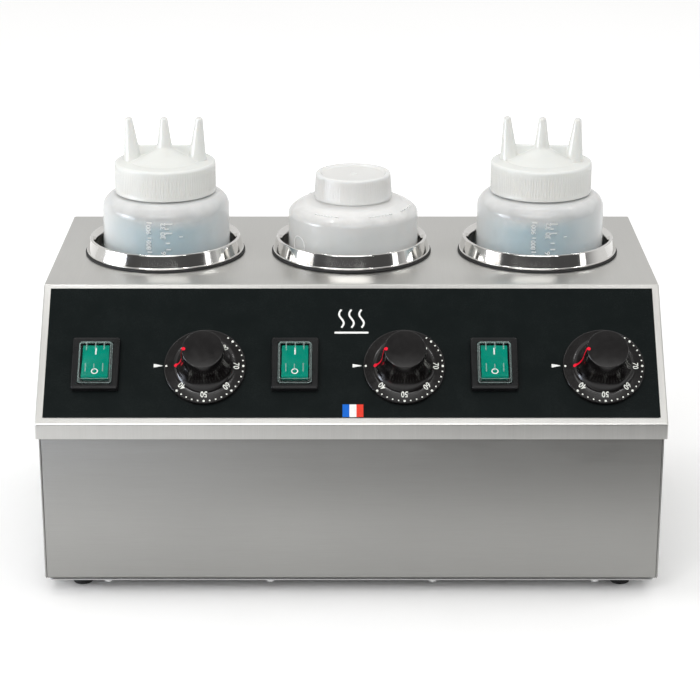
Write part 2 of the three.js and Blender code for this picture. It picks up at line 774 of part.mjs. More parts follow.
const TERMINALS = { x0: 74, x1: 116, y0: 86, y1: 102, height: 15 };
function terminalBlock() {
  const { x0, x1, y0, y1, height } = TERMINALS;
  const bottom = PANEL_BOTTOM + SHEET + GAP; // on the rear wall's flange
  const body = block(x0, x1, y0, y1, bottom, bottom + height);
  const pitch = (x1 - x0) / 3;
  const grooves = [1, 2].map((pole) => {
    const x = x0 + pole * pitch;
    return block(x - 1, x + 1, y0 - 1, y1 + 1, bottom + 4, bottom + 20);
  });
  const clamps = [0.5, 1.5, 2.5].map((pole) => {
    return rod(2.5, bottom + 8, bottom + 20, 10, x0 + pole * pitch, (y0 + y1) / 2);
  });
  return cutBy(body, ...grooves, ...clamps);
}

// One loom: from the terminal block between two wells, along behind the switches, and up to each.
function wiringLoom() {
  const level = 46;
  const runY = WALL_FRONT + 55;
  const switchEnd = SWITCH_BODY.back - TAB_LENGTH - 1;
  const topY = FOLD_Y - SWITCH_ROW * Math.SQRT1_2 - switchEnd * Math.SQRT1_2;
  const topZ = TOP - SWITCH_ROW * Math.SQRT1_2 + switchEnd * Math.SQRT1_2;
  const left = switchX(-1);
  const right = switchX(1);
  const between = STATION_PITCH / 2;
  const feed = tube(
    [
      [between + 30, TERMINALS.y0 - 2.5, 22],
      [between + 24, TERMINALS.y0 - 14, 23],
      [between, TERMINALS.y0 - 30, 34],
      [between, 0, level],
      [between, runY + 12, level],
      [between - 8, runY, level],
      [between - 20, runY, level],
    ],
    3.4,
    6,
    16,
  );
  const trunk = new THREE.CylinderGeometry(3.4, 3.4, right - left, 6).rotateZ(Math.PI / 2);
  trunk.translate((left + right) / 2, runY, level);
  const risers = STATIONS.map((station) =>
    tube(
      [
        [switchX(station), runY, level],
        [switchX(station), runY, level + 25],
        [switchX(station), topY + 8, topZ - 22],
        [switchX(station), topY, topZ],
      ],
      2.6,
      6,
      8,
    ),
  );
  return joined(solidOf(trunk), feed, ...risers);
}
place("terminal_block", terminalBlock(), whitePlastic);
place("wiring_loom", wiringLoom(), blackRubber);

export default warmer;
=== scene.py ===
from math import acos, atan2, cos, hypot, pi, radians, sin, sqrt, tan

import bmesh
import bpy
from mathutils import Matrix, Vector


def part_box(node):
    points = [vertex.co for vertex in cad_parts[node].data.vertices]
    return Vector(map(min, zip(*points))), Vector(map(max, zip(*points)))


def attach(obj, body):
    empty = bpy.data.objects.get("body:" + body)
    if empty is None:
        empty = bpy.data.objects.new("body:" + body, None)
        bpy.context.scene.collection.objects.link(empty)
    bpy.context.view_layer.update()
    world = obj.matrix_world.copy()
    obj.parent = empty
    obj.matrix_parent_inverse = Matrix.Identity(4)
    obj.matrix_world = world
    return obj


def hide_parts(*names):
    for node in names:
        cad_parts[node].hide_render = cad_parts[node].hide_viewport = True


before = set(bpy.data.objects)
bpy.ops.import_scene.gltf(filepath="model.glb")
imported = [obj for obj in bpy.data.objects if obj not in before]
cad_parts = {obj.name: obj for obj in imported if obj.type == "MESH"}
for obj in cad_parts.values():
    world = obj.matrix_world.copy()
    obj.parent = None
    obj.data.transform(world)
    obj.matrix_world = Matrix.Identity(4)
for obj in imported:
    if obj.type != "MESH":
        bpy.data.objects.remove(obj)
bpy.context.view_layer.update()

MM = 0.001
STATIONS = (1, 2, 3)


# ---- Where things are, in millimetres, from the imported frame
def box_mm(node):
    low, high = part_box(node)
    return [v * 1000 for v in low], [v * 1000 for v in high]


def middle_of(node):
    return [(a + b) / 2 for a, b in zip(*box_mm(node))]


def station_x(name):
    return {n: middle_of(f"{name}_{n}")[0] for n in STATIONS}


def at(x, y, z=0):
    return Matrix.Translation((x, y, z))


def turned(degrees, axis="X"):
    return Matrix.Rotation(radians(degrees), 4, axis)


cover_low, cover_high = box_mm("top_cover")
wall_low, wall_high = box_mm("front_panel")
HALF = cover_high[0]
FRONT, REAR, TOP = cover_low[1], cover_high[1], cover_high[2]
LIP_BOTTOM = cover_low[2]
SLOPE = 100 * sqrt(0.5)  # the control face is 100 long, at 45 degrees
FOLD_Y = FRONT + SLOPE
LIP_TOP = TOP - SLOPE
WALL_FRONT, WALL_REAR = wall_low[1], box_mm("rear_panel")[1][1]
WALL_BOTTOM, WALL_TOP = wall_low[2], wall_high[2]
SIDE_X = box_mm("right_side_panel")[1][0]
WELL_Y = middle_of("well_2")[1]
FLOOR_Z = box_mm("well_2")[0][2] + 1  # the floor inside a well
FACE = at(0, FOLD_Y, TOP) @ turned(45)
SWITCH_ROW = -59.5  # along the control face, from the fold at its top
KNOB_ROW = -61.0
STATION_X = station_x("well")
BOTTLE_X = station_x("bottle")
KNOB_X = station_x("knob")
SWITCH_X = station_x("switch_housing")


# ---- Camera, lights, world
LENS = 113.1
CAMERA_PLACE = (-0.95, FOLD_Y - 1367.2, TOP + 423.1)
CAMERA_DOWN = 18.91  # degrees below level


def linked(name, data):
    made = bpy.data.objects.new(name, data)
    bpy.context.collection.objects.link(made)
    return made


def add_camera():
    data = bpy.data.cameras.new("camera")
    data.sensor_width = 36
    data.lens = LENS
    data.clip_start, data.clip_end = 0.05, 50
    camera = linked("camera", data)
    camera.location = [v * MM for v in CAMERA_PLACE]
    camera.rotation_euler = (radians(90 - CAMERA_DOWN), 0, 0)
    bpy.context.scene.camera = camera


def add_area(name, place, aim, size, power, colour=(1, 1, 1), glossy_only=False):
    data = bpy.data.lights.new(name, "AREA")
    data.shape = "RECTANGLE"
    data.size, data.size_y = size
    data.energy = power
    data.color = colour
    light = linked(name, data)
    light.location = place
    light.rotation_euler = (Vector(aim) - Vector(place)).to_track_quat("-Z", "Y").to_euler()
    light.visible_diffuse = not glossy_only


def add_world():
    """Bright behind the warmer, dim in front of it."""
    world = bpy.data.worlds.new("studio")
    world.use_nodes = True
    bpy.context.scene.world = world
    s = Nodes(world.node_tree)
    direction = s.node("SeparateXYZ", {0: s.node("TexCoord").outputs["Generated"]}).outputs
    back = s.spread(direction["Y"], -0.55, 0.25, 0.07, 0.76, "SMOOTHSTEP")
    above = s.spread(direction["Z"], 0.42, 0.80, 0.0, 0.10, "SMOOTHSTEP")
    sky = world.node_tree.nodes["Background"].inputs
    s.feed(sky["Strength"], s.math("ADD", back, above))
    s.feed(sky["Color"], (1, 0.995, 0.985))


# ---- Mesh building: a part is (vertices, faces) in millimetres
def rounded(points, steps=5, closed=False):
    """Points (a, b) or (a, b, radius): a corner with a radius becomes an arc."""
    out = []
    count = len(points)
    for i, point in enumerate(points):
        here = Vector(point[:2])
        radius = point[2] if len(point) > 2 else 0
        if not radius or (not closed and i in (0, count - 1)):
            out.append(tuple(here))
            continue
        before = Vector(points[i - 1][:2]) - here
        after = Vector(points[(i + 1) % count][:2]) - here
        reach = min(before.length, after.length) * 0.5
        before.normalize()
        after.normalize()
        half = acos(max(-1, min(1, before.dot(after)))) / 2
        back = min(radius / tan(half), reach)
        radius = back * tan(half)
        middle = here + (before + after).normalized() * (radius / sin(half))
        first = here + before * back - middle
        last = here + after * back - middle
        turn = pi - 2 * half
        for k in range(steps + 1):
            t = k / steps
            mixed = (first * sin((1 - t) * turn) + last * sin(t * turn)) / sin(turn)
            out.append(tuple(middle + mixed))
    return out


def rounded_rect(half_x, half_y, radius, steps=5):
    corners = ((half_x, -half_y), (half_x, half_y), (-half_x, half_y), (-half_x, -half_y))
    return rounded([(x, y, radius) for x, y in corners], steps, closed=True)


def rect(x, y, half_x, half_y):
    return [(x + a * half_x, y + b * half_y) for a, b in ((-1, -1), (1, -1), (1, 1), (-1, 1))]


def disc(x, y, radius, count=20):
    turns = [2 * pi * k / count for k in range(count)]
    return [(x + radius * cos(turn), y + radius * sin(turn)) for turn in turns]


def shifted(outline, x, y):
    return [(a + x, b + y) for a, b in outline]


def lathe(profile, segments, centre=(0, 0), radial=None):
    """Turns (radius, height) points about Z. Ends on the axis close it; a closed profile makes a ring."""
    ring = profile[0] == profile[-1]
    rows = profile[:-1] if ring else profile
    verts, faces, index = [], [], []
    for r, z in rows:
        if r < 1e-6:
            index.append([len(verts)] * segments)
            verts.append((centre[0], centre[1], z))
            continue
        index.append(list(range(len(verts), len(verts) + segments)))
        for k in range(segments):
            angle = 2 * pi * k / segments
            reach = r if radial is None else radial(angle, r, z)
            verts.append((centre[0] + reach * cos(angle), centre[1] + reach * sin(angle), z))
    spans = len(rows) if ring else len(rows) - 1
    for i in range(spans):
        low, high = index[i], index[(i + 1) % len(rows)]
        for k in range(segments):
            n = (k + 1) % segments
            corner = [low[k], low[n], high[n], high[k]]
            faces.append([v for j, v in enumerate(corner) if v != corner[j - 1]])
    return verts, faces


def rod(radius, z0, z1, segments, centre=(0, 0)):
    return lathe([(0, z0), (radius, z0), (radius, z1), (0, z1)], segments, centre)


def loft(loops, closed=False):
    """Joins loops of 3-D points that have equal counts, with a cap at each end or into a ring."""
    count = len(loops[0])
    verts = [p for loop in loops for p in loop]
    faces = []
    for i in range(len(loops) if closed else len(loops) - 1):
        low, high = i * count, ((i + 1) % len(loops)) * count
        faces += [[low + k, low + (k + 1) % count, high + (k + 1) % count, high + k] for k in range(count)]
    if not closed:
        faces.append(list(range(count))[::-1])
        faces.append([(len(loops) - 1) * count + k for k in range(count)])
    return verts, faces


def flat(outline, z):
    return [(x, y, z) for x, y in outline]


def extruded_x(outline, x0, x1):
    return loft([[(x, a, b) for a, b in outline] for x in (x0, x1)])


def extruded_y(outline, y0, y1):
    return loft([[(a, y, b) for a, b in outline] for y in (y0, y1)])


def prism(outline, z0, z1):
    return loft([flat(outline, z0), flat(outline, z1)])


def joined(*parts):
    verts, faces = [], []
    for part_verts, part_faces in parts:
        faces += [[i + len(verts) for i in face] for face in part_faces]
        verts += list(part_verts)
    return verts, faces


def moved(part, matrix):
    return [tuple(matrix @ Vector(v)) for v in part[0]], part[1]


def to_bmesh(part):
    bm = bmesh.new()
    made = [bm.verts.new(v) for v in part[0]]
    for face in part[1]:
        if len(set(face)) > 2:
            bm.faces.new([made[i] for i in face])
    bmesh.ops.recalc_face_normals(bm, faces=bm.faces)
    return bm


def from_bmesh(bm):
    bm.verts.index_update()
    part = [tuple(v.co) for v in bm.verts], [[v.index for v in f.verts] for f in bm.faces]
    bm.free()
    return part


def bevelled(part, width, segments=3, angle=30, where=None):
    """Rounds each edge sharper than the angle, or those of them that where(edge) picks."""
    bm = to_bmesh(part)
    sharp = [e for e in bm.edges if len(e.link_faces) == 2 and e.calc_face_angle(0) > radians(angle)]
    edges = [e for e in sharp if where is None or where(e)]
    bmesh.ops.bevel(
        bm, geom=edges, offset=width, segments=segments, profile=0.5, affect="EDGES", clamp_overlap=True
    )
    return from_bmesh(bm)


def as_object(part, name="scratch"):
    bm = to_bmesh(part)
    mesh = bpy.data.meshes.new(name)
    bm.to_mesh(mesh)
    bm.free()
    return linked(name, mesh)


def with_modifiers(part, *settings):
    """The part after modifiers, each given as (type, {property: value})."""
    made = as_object(part)
    for kind, values in settings:
        modifier = made.modifiers.new(kind, kind)
        for key, value in values.items():
            setattr(modifier, key, value)
    done = made.evaluated_get(bpy.context.evaluated_depsgraph_get()).to_mesh()
    out = [tuple(v.co) for v in done.vertices], [list(p.vertices) for p in done.polygons]
    bpy.data.objects.remove(made)
    return out


def boolean(part, operation, *tools):
    for tool in tools:
        other = as_object(tool, "tool")
        part = with_modifiers(part, ("BOOLEAN", {"operation": operation, "object": other, "solver": "EXACT"}))
        bpy.data.objects.remove(other)
    return part


def piece(name, part, body, material, stands_for=(), angle=32, uv=None):
    """Makes the finished object, in metres, riding on its body."""
    bm = to_bmesh(part)
    bmesh.ops.remove_doubles(bm, verts=bm.verts, dist=1e-5)
    bmesh.ops.scale(bm, vec=(MM, MM, MM), verts=bm.verts)
    mesh = bpy.data.meshes.new(name)
    bm.to_mesh(mesh)
    bm.free()
    mesh.shade_smooth()
    mesh.set_sharp_from_angle(angle=radians(angle))
    mesh.materials.append(MAT[material])
    if uv:
        set_uv(mesh, uv)
    made = linked(name, mesh)
    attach(made, body)
    if stands_for:
        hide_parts(*stands_for)


def set_uv(mesh, where):
    """where(point in mm, normal) gives (along the grain, across it) in mm. The map holds metres."""
    layer = mesh.uv_layers.new(name="grain")
    for face in mesh.polygons:
        for loop in face.loop_indices:
            point = mesh.vertices[mesh.loops[loop].vertex_index].co * 1000
            u, v = where(point, face.normal)
            layer.data[loop].uv = (u * MM, v * MM)


def restyle(node, material):
    """Gives a CAD node that stays its own material."""
    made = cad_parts[node]
    made.data.materials.clear()
    made.data.materials.append(MAT[material])


# ---- Materials
class Nodes:
    """Makes nodes in a tree. An input is given as a value or as another node's socket."""

    def __init__(self, tree):
        self.tree = tree

    def feed(self, socket, value):
        if isinstance(value, bpy.types.NodeSocket):
            self.tree.links.new(value, socket)
        elif isinstance(value, tuple) and len(value) == 3 and socket.type == "RGBA":
            socket.default_value = (*value, 1)
        else:
            socket.default_value = value

    def node(self, kind, inputs=None, **values):
        made = self.tree.nodes.new("ShaderNode" + kind)
        for key, value in values.items():
            setattr(made, key, value)
        for key, value in (inputs or {}).items():
            self.feed(made.inputs[key], value)
        return made

    def spread(self, value, low, high, out_low, out_high, kind="LINEAR"):
        inputs = {"Value": value, "From Min": low, "From Max": high, "To Min": out_low, "To Max": out_high}
        return self.node("MapRange", inputs, interpolation_type=kind).outputs["Result"]

    def math(self, operation, first, second):
        return self.node("Math", {0: first, 1: second}, operation=operation).outputs[0]


class Shader(Nodes):
    """A Principled material."""

    def __init__(self, name, **values):
        self.material = bpy.data.materials.new(name)
        self.material.use_nodes = True
        super().__init__(self.material.node_tree)
        self.main = self.tree.nodes["Principled BSDF"]
        for key, value in values.items():
            self.set(key, value)

    def set(self, key, value):
        self.feed(self.main.inputs[key.replace("_", " ")], value)

    def place(self, scale=(1, 1, 1), source="Object"):
        where = self.node("TexCoord").outputs[source]
        return self.node("Mapping", {"Vector": where, "Scale": scale}).outputs["Vector"]

    def axes(self):
        return self.node("SeparateXYZ", {0: self.place()}).outputs

    def noise(self, scale, detail=3, stretch=(1, 1, 1), source="Object", roughness=0.55):
        where = self.place(stretch, source)
        values = {"Vector": where, "Scale": scale, "Detail": detail, "Roughness": roughness}
        return self.node("TexNoise", values).outputs["Fac"]

    def vary(self, noise, low, high):
        return self.spread(noise, 0.3, 0.7, low, high)

    def mix(self, factor, first, second):
        return self.node("Mix", {0: factor, 6: first, 7: second}, data_type="RGBA").outputs[2]

    def colours(self, value, low, high, first, second):
        """The base colour goes from first to second as the value goes from low to high."""
        self.set("Base Color", self.mix(self.spread(value, low, high, 0, 1), first, second))

    def bump(self, height, strength, distance):
        values = {"Height": height, "Strength": strength, "Distance": distance}
        self.set("Normal", self.node("Bump", values).outputs["Normal"])


def shade(colour, factor):
    return tuple(min(1, c * factor) for c in colour)


def brushed(name, colour, roughness, grain, depth=1.0):
    """Brushed stainless sheet: hair lines along the map's U, with faint wear and handling marks."""
    s = Shader(name, Metallic=1.0, Anisotropic=0.5)
    hair = s.noise(1, 4, (34, grain, 1), "UV", 0.65)
    broad = s.noise(1, 2, (5, grain / 14, 1), "UV")
    cloud = s.noise(7, 4)
    lines = s.math("ADD", s.math("MULTIPLY", hair, 0.82), s.math("MULTIPLY", broad, 0.18))
    s.colours(lines, 0.3, 0.7, shade(colour, 0.93), shade(colour, 1.05))
    worn = s.vary(lines, roughness * 0.85, roughness * 1.15)
    s.set("Roughness", s.math("ADD", worn, s.spread(cloud, 0.35, 0.7, -0.03, 0.05)))
    s.bump(lines, 0.12 * depth, 0.00004)
    return s.material


def polished(name, colour=(0.80, 0.79, 0.77), roughness=0.07, satin=None):
    """Polished stainless: fine lathe lines round it, faint water marks, and satin below a height."""
    s = Shader(name, Metallic=1.0, Base_Color=colour)
    lines = s.noise(1, 3, (3, 2600, 1), "UV")
    marks = s.noise(34, 4)
    gloss = s.vary(lines, roughness * 0.7, roughness * 1.4)
    gloss = s.math("ADD", gloss, s.spread(marks, 0.45, 0.75, 0, 0.06))
    if satin:
        gloss = s.math("ADD", gloss, s.spread(s.axes()["Z"], satin * MM, (satin + 2) * MM, 0.38, 0))
    s.set("Roughness", gloss)
    s.colours(marks, 0.3, 0.8, colour, shade(colour, 0.93))
    s.bump(lines, 0.03, 0.00002)
    return s.material


def moulded(name, colour, roughness, tint=None, texture=900, depth=0.1, **values):
    """Moulded plastic or rubber: a fine spark texture, slight unevenness of colour and gloss."""
    s = Shader(name, **values)
    fine = s.noise(texture, 2)
    cloud = s.noise(60, 3)
    s.colours(cloud, 0.35, 0.65, colour, tint or tuple(min(1, c * 1.18 + 0.004) for c in colour))
    gloss = s.vary(cloud, roughness * 0.92, roughness * 1.08)
    s.set("Roughness", s.math("ADD", gloss, s.vary(fine, -0.03, 0.03)))
    s.bump(fine, depth, 0.00008)
    return s.material


def milky(name, colour, roughness, weight=0.35, alpha=None, dense=None):
    """Translucent polyethylene, in which light spreads.

    alpha gives how opaque it is seen square on and edge on, and dense the two heights above
    the top plate between which it turns opaque."""
    s = Shader(name, Subsurface_Weight=weight, Subsurface_Scale=1.0, IOR=1.5)
    s.set("Subsurface Radius", (0.004, 0.0045, 0.005))
    cloud = s.noise(45, 3)
    s.colours(cloud, 0.35, 0.65, colour, shade(colour, 0.96))
    s.set("Roughness", s.vary(cloud, roughness * 0.85, roughness * 1.15))
    if alpha:
        facing = s.node("LayerWeight", {"Blend": 0.45}).outputs["Facing"]
        height = s.math("ADD", s.axes()["Z"], s.vary(cloud, -0.002, 0.002))
        thick = s.spread(height, (TOP + dense[0]) * MM, (TOP + dense[1]) * MM, 0, 0.94)
        s.set("Alpha", s.math("MAXIMUM", s.spread(facing, 0.0, 0.9, *alpha), thick))
    s.bump(s.noise(220, 2), 0.05, 0.0002)
    return s.material


def clear(name, alpha):
    """Clear soft vinyl: hardly seen square on, a faint green grey edge on."""
    s = Shader(name, Base_Color=(0.50, 0.62, 0.60), IOR=1.5, Specular_IOR_Level=0.25)
    facing = s.node("LayerWeight", {"Blend": 0.4}).outputs["Facing"]
    haze = s.noise(160, 3)
    s.set("Alpha", s.math("ADD", s.spread(facing, 0.16, 1.0, *alpha), s.spread(haze, 0.45, 0.8, 0, 0.01)))
    s.set("Roughness", s.vary(haze, 0.09, 0.2))
    s.bump(haze, 0.15, 0.0003)
    return s.material


def sauce(name, deep, pale, top):
    """Seen through the frosted wall: paler towards its surface, where the light gets in."""
    s = Shader(name, Subsurface_Weight=0.4, Subsurface_Scale=1.0, Subsurface_Radius=(0.006, 0.007, 0.008))
    cloud = s.noise(30, 3)
    wave = s.math("ADD", s.axes()["Z"], s.vary(cloud, -0.003, 0.003))
    s.colours(wave, (top - 7) * MM, top * MM, deep, pale)
    s.set("Roughness", s.vary(cloud, 0.5, 0.6))
    return s.material


def printed(name, colour, roughness=0.45):
    s = Shader(name, Specular_IOR_Level=0.2)
    wear = s.noise(700, 3)
    s.colours(wear, 0.35, 0.7, colour, shade(colour, 0.92))
    s.set("Roughness", s.vary(wear, roughness * 0.9, roughness * 1.1))
    s.bump(wear, 0.05, 0.00003)
    return s.material


def black(name, colour, roughness, tint, texture, depth, specular):
    return moulded(name, colour, roughness, tint, texture, depth, Specular_IOR_Level=specular)


MAT = {
    "cover": brushed("cover steel", (0.62, 0.615, 0.595), 0.38, 2400),
    # painted shade: the walls are the cover's stainless, made darker to look shaded
    "wall": brushed("wall steel darkened as painted shade", (0.36, 0.357, 0.345), 0.45, 2600, 0.8),
    "base": brushed("base steel", (0.45, 0.45, 0.45), 0.45, 900),
    "collar": polished("collar steel", satin=TOP - 1),
    "screw": polished("screw steel", (0.72, 0.72, 0.72), 0.16),
    "film": black("overlay film", (0.0040, 0.0066, 0.0066), 0.26, (0.0048, 0.0076, 0.0076), 1800, 0.05, 0.11),
    "knob": black("knob plastic", (0.0030, 0.0023, 0.0024), 0.19, (0.0040, 0.0031, 0.0032), 260, 0.004, 0.45),
    "switch": black(
        "switch frame plastic", (0.006, 0.0063, 0.0068), 0.3, (0.008, 0.0083, 0.0088), 1500, 0.06, 0.24
    ),
    "rocker": moulded(
        "rocker plastic", (0.0, 0.22, 0.15), 0.25, (0.0, 0.245, 0.17), depth=0.03, Specular_IOR_Level=0.05
    ),
    "rubber": moulded("black rubber", (0.012, 0.012, 0.012), 0.7, texture=1100, depth=0.3),
    "gland": moulded("gland plastic", (0.02, 0.02, 0.021), 0.45, depth=0.15),
    "cap": milky("cap plastic", (0.765, 0.775, 0.75), 0.2, 0.4),
    "small_cap": milky("small cap plastic", (0.775, 0.78, 0.77), 0.2, 0.4),
    "bottle": milky("bottle plastic", (0.83, 0.84, 0.84), 0.12, 0.35, (0.20, 0.96), (24, 44)),
    "plain_bottle": milky("plain bottle plastic", (0.86, 0.865, 0.86), 0.12, 0.35, (0.50, 0.97), (20, 34)),
    "sauce": sauce("bottle contents", (0.36, 0.63, 0.73), (0.84, 0.88, 0.90), TOP + 32),
    "plain_sauce": sauce("plain bottle contents", (0.60, 0.75, 0.78), (0.88, 0.91, 0.92), TOP + 27),
    "relief": milky("raised marks", (0.95, 0.96, 0.96), 0.3),
    "seal": milky("seal foam", (0.86, 0.86, 0.84), 0.55),
    "clear": clear("clear vinyl", (0.0, 0.40)),
    "clear_rib": clear("clear vinyl ribs", (0.25, 0.70)),
    "white": printed("white ink", (0.90, 0.91, 0.89)),
    "cream": printed("dial ink", (0.92, 0.94, 0.88)),
    "red": printed("red ink", (0.86, 0.006, 0.03), 0.3),
    "blue": printed("blue ink", (0.0, 0.13, 0.62)),
    "vermilion": printed("vermilion ink", (0.80, 0.045, 0.022)),
    "mica": brushed("heater band", (0.36, 0.34, 0.30), 0.5, 300),
    "copper": moulded("sensor copper", (0.62, 0.30, 0.17), 0.3, texture=500, Metallic=1.0),
    "thermostat": moulded("thermostat plastic", (0.075, 0.08, 0.085), 0.5),
    "spindle": polished("spindle steel", (0.5, 0.5, 0.5), 0.25),
    "terminal": moulded("terminal plastic", (0.72, 0.70, 0.62), 0.45),
    "loom": moulded("loom sleeve", (0.015, 0.015, 0.016), 0.6, texture=400, depth=0.4),
}


# ---- Stage
def add_floor():
    """Pale round the warmer and behind it, with painted shade in front: dark grey, most of all to the right;
    and a painted glow in front on the left and behind.
    """
    verts, faces = prism(rounded_rect(7000, 7000, 500), -20, 0)
    mesh = bpy.data.meshes.new("floor")
    mesh.from_pydata([Vector(v) * MM for v in verts], [], faces)
    s = Shader("floor with painted shade and glow", Roughness=0.85, Specular_IOR_Level=0.1)
    along = s.axes()
    ahead = s.spread(along["Y"], -0.48, -0.23, 0, 1, "SMOOTHSTEP")
    # painted light: the floor stays pale further forward on the left, as if lit from there
    left = s.spread(along["X"], -0.40, 0.45, 0.72, 0.09, "SMOOTHSTEP")
    pale = s.math("ADD", s.math("MAXIMUM", ahead, left), s.vary(s.noise(3, 2), -0.01, 0.01))
    # painted shade: dark grey in front, most of all to the right, for the walls to reflect
    s.set("Base Color", s.mix(pale, (0.07, 0.07, 0.07), (0.94, 0.94, 0.94)))
    # painted glow: the floor emits light in front on the left and more towards the back, though it is no lamp
    s.set("Emission Color", (1.0, 1.0, 1.0))
    front = s.math("MULTIPLY", ahead, s.spread(along["Y"], -0.25, -0.19, 1, 0))
    front = s.math("MULTIPLY", front, s.spread(along["X"], -0.35, 0.35, 0.22, 0.02))
    s.set("Emission Strength", s.math("ADD", front, s.spread(along["Y"], -0.1, 0.9, 0.02, 0.38)))
    mesh.materials.append(s.material)
    linked("floor", mesh)


WARM = (1, 0.995, 0.98)
add_camera()
add_world()
add_area("overhead_rear", (0, -0.12, 1.75), (0, -0.1, 0.15), (1.7, 0.45), 1.9, WARM)
add_area("overhead_front", (0, -1.14, 1.70), (0, -0.1, 0.15), (1.7, 0.45), 6.6, WARM)
add_area("overhead_left", (-0.62, -0.05, 1.70), (0, 0, 0.2), (0.22, 0.18), 1.7)
add_area("overhead_right", (0.95, 0.15, 1.60), (0, 0, 0.2), (0.18, 0.18), 1.7)
add_area("front_fill", (-0.3, -1.75, 1.15), (0, 0, 0.15), (2.0, 0.6), 16.0)
add_area("key_left", (-0.75, -1.5, 1.25), (0, 0, 0.15), (0.22, 0.22), 2.6)
add_area("key_right", (0.85, -1.35, 1.35), (0, 0, 0.15), (0.16, 0.16), 2.6)
add_area("left_wall", (-1.7, -0.55, 0.75), (0, 0, 0.15), (0.9, 1.2), 3.5, (1, 0.97, 0.92))
add_area("left_strip", (-1.30, -0.25, 0.34), (0, -0.12, 0.14), (0.75, 0.09), 2.4, (0.88, 0.93, 1))
add_area("left_gloss", (-1.20, -0.42, 0.22), (0, -0.14, 0.14), (0.5, 0.34), 6.5, (0.80, 0.86, 1), True)
add_area("right_strip", (1.5, -0.6, 0.7), (0, 0, 0.15), (0.25, 1.2), 2.0)
add_floor()


# ---- Case
def cover_outline(inset, bottom, radius):
    corner = inset * tan(pi / 8)
    front, rear, top = FRONT + inset, REAR - inset, TOP - inset
    folds = [(front, LIP_TOP - corner, radius), (FOLD_Y + corner, top, radius), (rear, top, radius)]
    return rounded([(front, bottom), *folds, (rear, bottom)], 6)


def face_holes():
    cuts = []
    for n in STATIONS:
        switch = shifted(rounded_rect(11, 15, 1), SWITCH_X[n], SWITCH_ROW)
        cuts.append(moved(prism(switch, -4, 4), FACE))
        cuts.append(moved(rod(5, -4, 4, 40, (KNOB_X[n], KNOB_ROW)), FACE))
    return cuts


def cover_screw_holes(y):
    places = [middle_of(f"cover_screw_{n}") for n in (1, 2)]
    return [moved(rod(2.3, -5, 5, 24), at(x, y, z) @ turned(90)) for x, _, z in places]


def along_cover(point, normal):
    if abs(normal.x) > 0.7:
        return point.z, point.y
    if point.y > REAR - 3 and normal.y > 0.5:
        return 500 - point.z, point.x
    if point.z > TOP - 1.5 and normal.z > 0.9:
        return point.y, point.x
    return point.y * 1.2, point.x


def on_side_outline(edge):
    a, b = (v.co for v in edge.verts)
    above_foot = min(a.z, b.z) > LIP_BOTTOM - 1 and max(a.z, b.z) > LIP_BOTTOM + 1
    return abs(a.x - b.x) < 1e-3 and above_foot


def top_cover():
    outer = extruded_x(cover_outline(0, LIP_BOTTOM, 2.4), -HALF, HALF)
    outer = bevelled(outer, 1.1, 4, 50, on_side_outline)
    inner = extruded_x(cover_outline(1, LIP_BOTTOM - 6, 1.4), -HALF + 1, HALF - 1)
    wells = [rod(50, TOP - 6, TOP + 6, 96, (STATION_X[n], WELL_Y)) for n in STATIONS]
    shell = boolean(outer, "DIFFERENCE", inner, *wells, *face_holes(), *cover_screw_holes(REAR))
    piece("cover", shell, "casing", "cover", ["top_cover"], uv=along_cover)


def folded(edge, inward, low, high, flange=12):
    """An L of 1 mm sheet: an upright wall with a foot turned inwards, rounded at the fold."""
    face, foot = edge + inward, edge + inward * flange
    fold = [(edge, high), (edge, low, 2.0), (foot, low), (foot, low + 1), (face, low + 1, 1.0), (face, high)]
    return rounded(fold, 6)


def plate_screw_places():
    return [tuple(middle_of(f"bottom_screw_{n}")[:2]) for n in range(1, 5)]


def walls():
    half = wall_high[0]
    gland_x, _, gland_z = middle_of("cable_gland")
    gland_hole = moved(rod(7.8, -8, 8, 48), at(gland_x, WALL_REAR, gland_z) @ turned(90))
    plate_holes = [rod(2.3, 0, 40, 24, place) for place in plate_screw_places()]
    for name, edge, inward, holes in (
        ("front", WALL_FRONT, 1, plate_holes),
        ("rear", WALL_REAR, -1, [gland_hole, *cover_screw_holes(WALL_REAR)]),
    ):
        wall = extruded_x(folded(edge, inward, WALL_BOTTOM, WALL_TOP), -half, half)
        wall = boolean(bevelled(wall, 0.12, 2, 60), "DIFFERENCE", *holes)
        across = lambda p, n: (p.x, p.z if abs(n.y) > 0.5 else p.y)
        piece(f"{name}_wall", wall, "casing", "wall", [f"{name}_panel"], uv=across)

    for name, sign in (("left", -1), ("right", 1)):
        side = extruded_y(folded(sign * SIDE_X, -sign, WALL_BOTTOM, WALL_TOP), WALL_FRONT, WALL_REAR)
        side = bevelled(side, 0.12, 2, 60)
        x0, x1 = sorted((sign * (SIDE_X - 1.01), sign * (SIDE_X - 14)))
        notches = []
        for y0, y1 in ((WALL_FRONT - 2, WALL_FRONT + 14), (WALL_REAR - 14, WALL_REAR + 2)):
            notches.append(prism([(x0, y0), (x1, y0), (x1, y1), (x0, y1)], WALL_BOTTOM - 2, WALL_BOTTOM + 3))
        side = boolean(side, "DIFFERENCE", *notches)
        along = lambda p, n: (p.y, p.z if abs(n.x) > 0.5 else p.x)
        piece(f"{name}_wall", side, "casing", "wall", [f"{name}_side_panel"], uv=along)

    low, high = box_mm("bottom_plate")
    outline = shifted(rounded_rect(high[0], (high[1] - low[1]) / 2, 3), 0, (low[1] + high[1]) / 2)
    plate = boolean(bevelled(prism(outline, low[2], high[2]), 0.15, 2, 60), "DIFFERENCE", *plate_holes)
    level = lambda p, n: (p.x, p.y)
    piece("base_plate", plate, "casing", "base", ["bottom_plate"], uv=level)


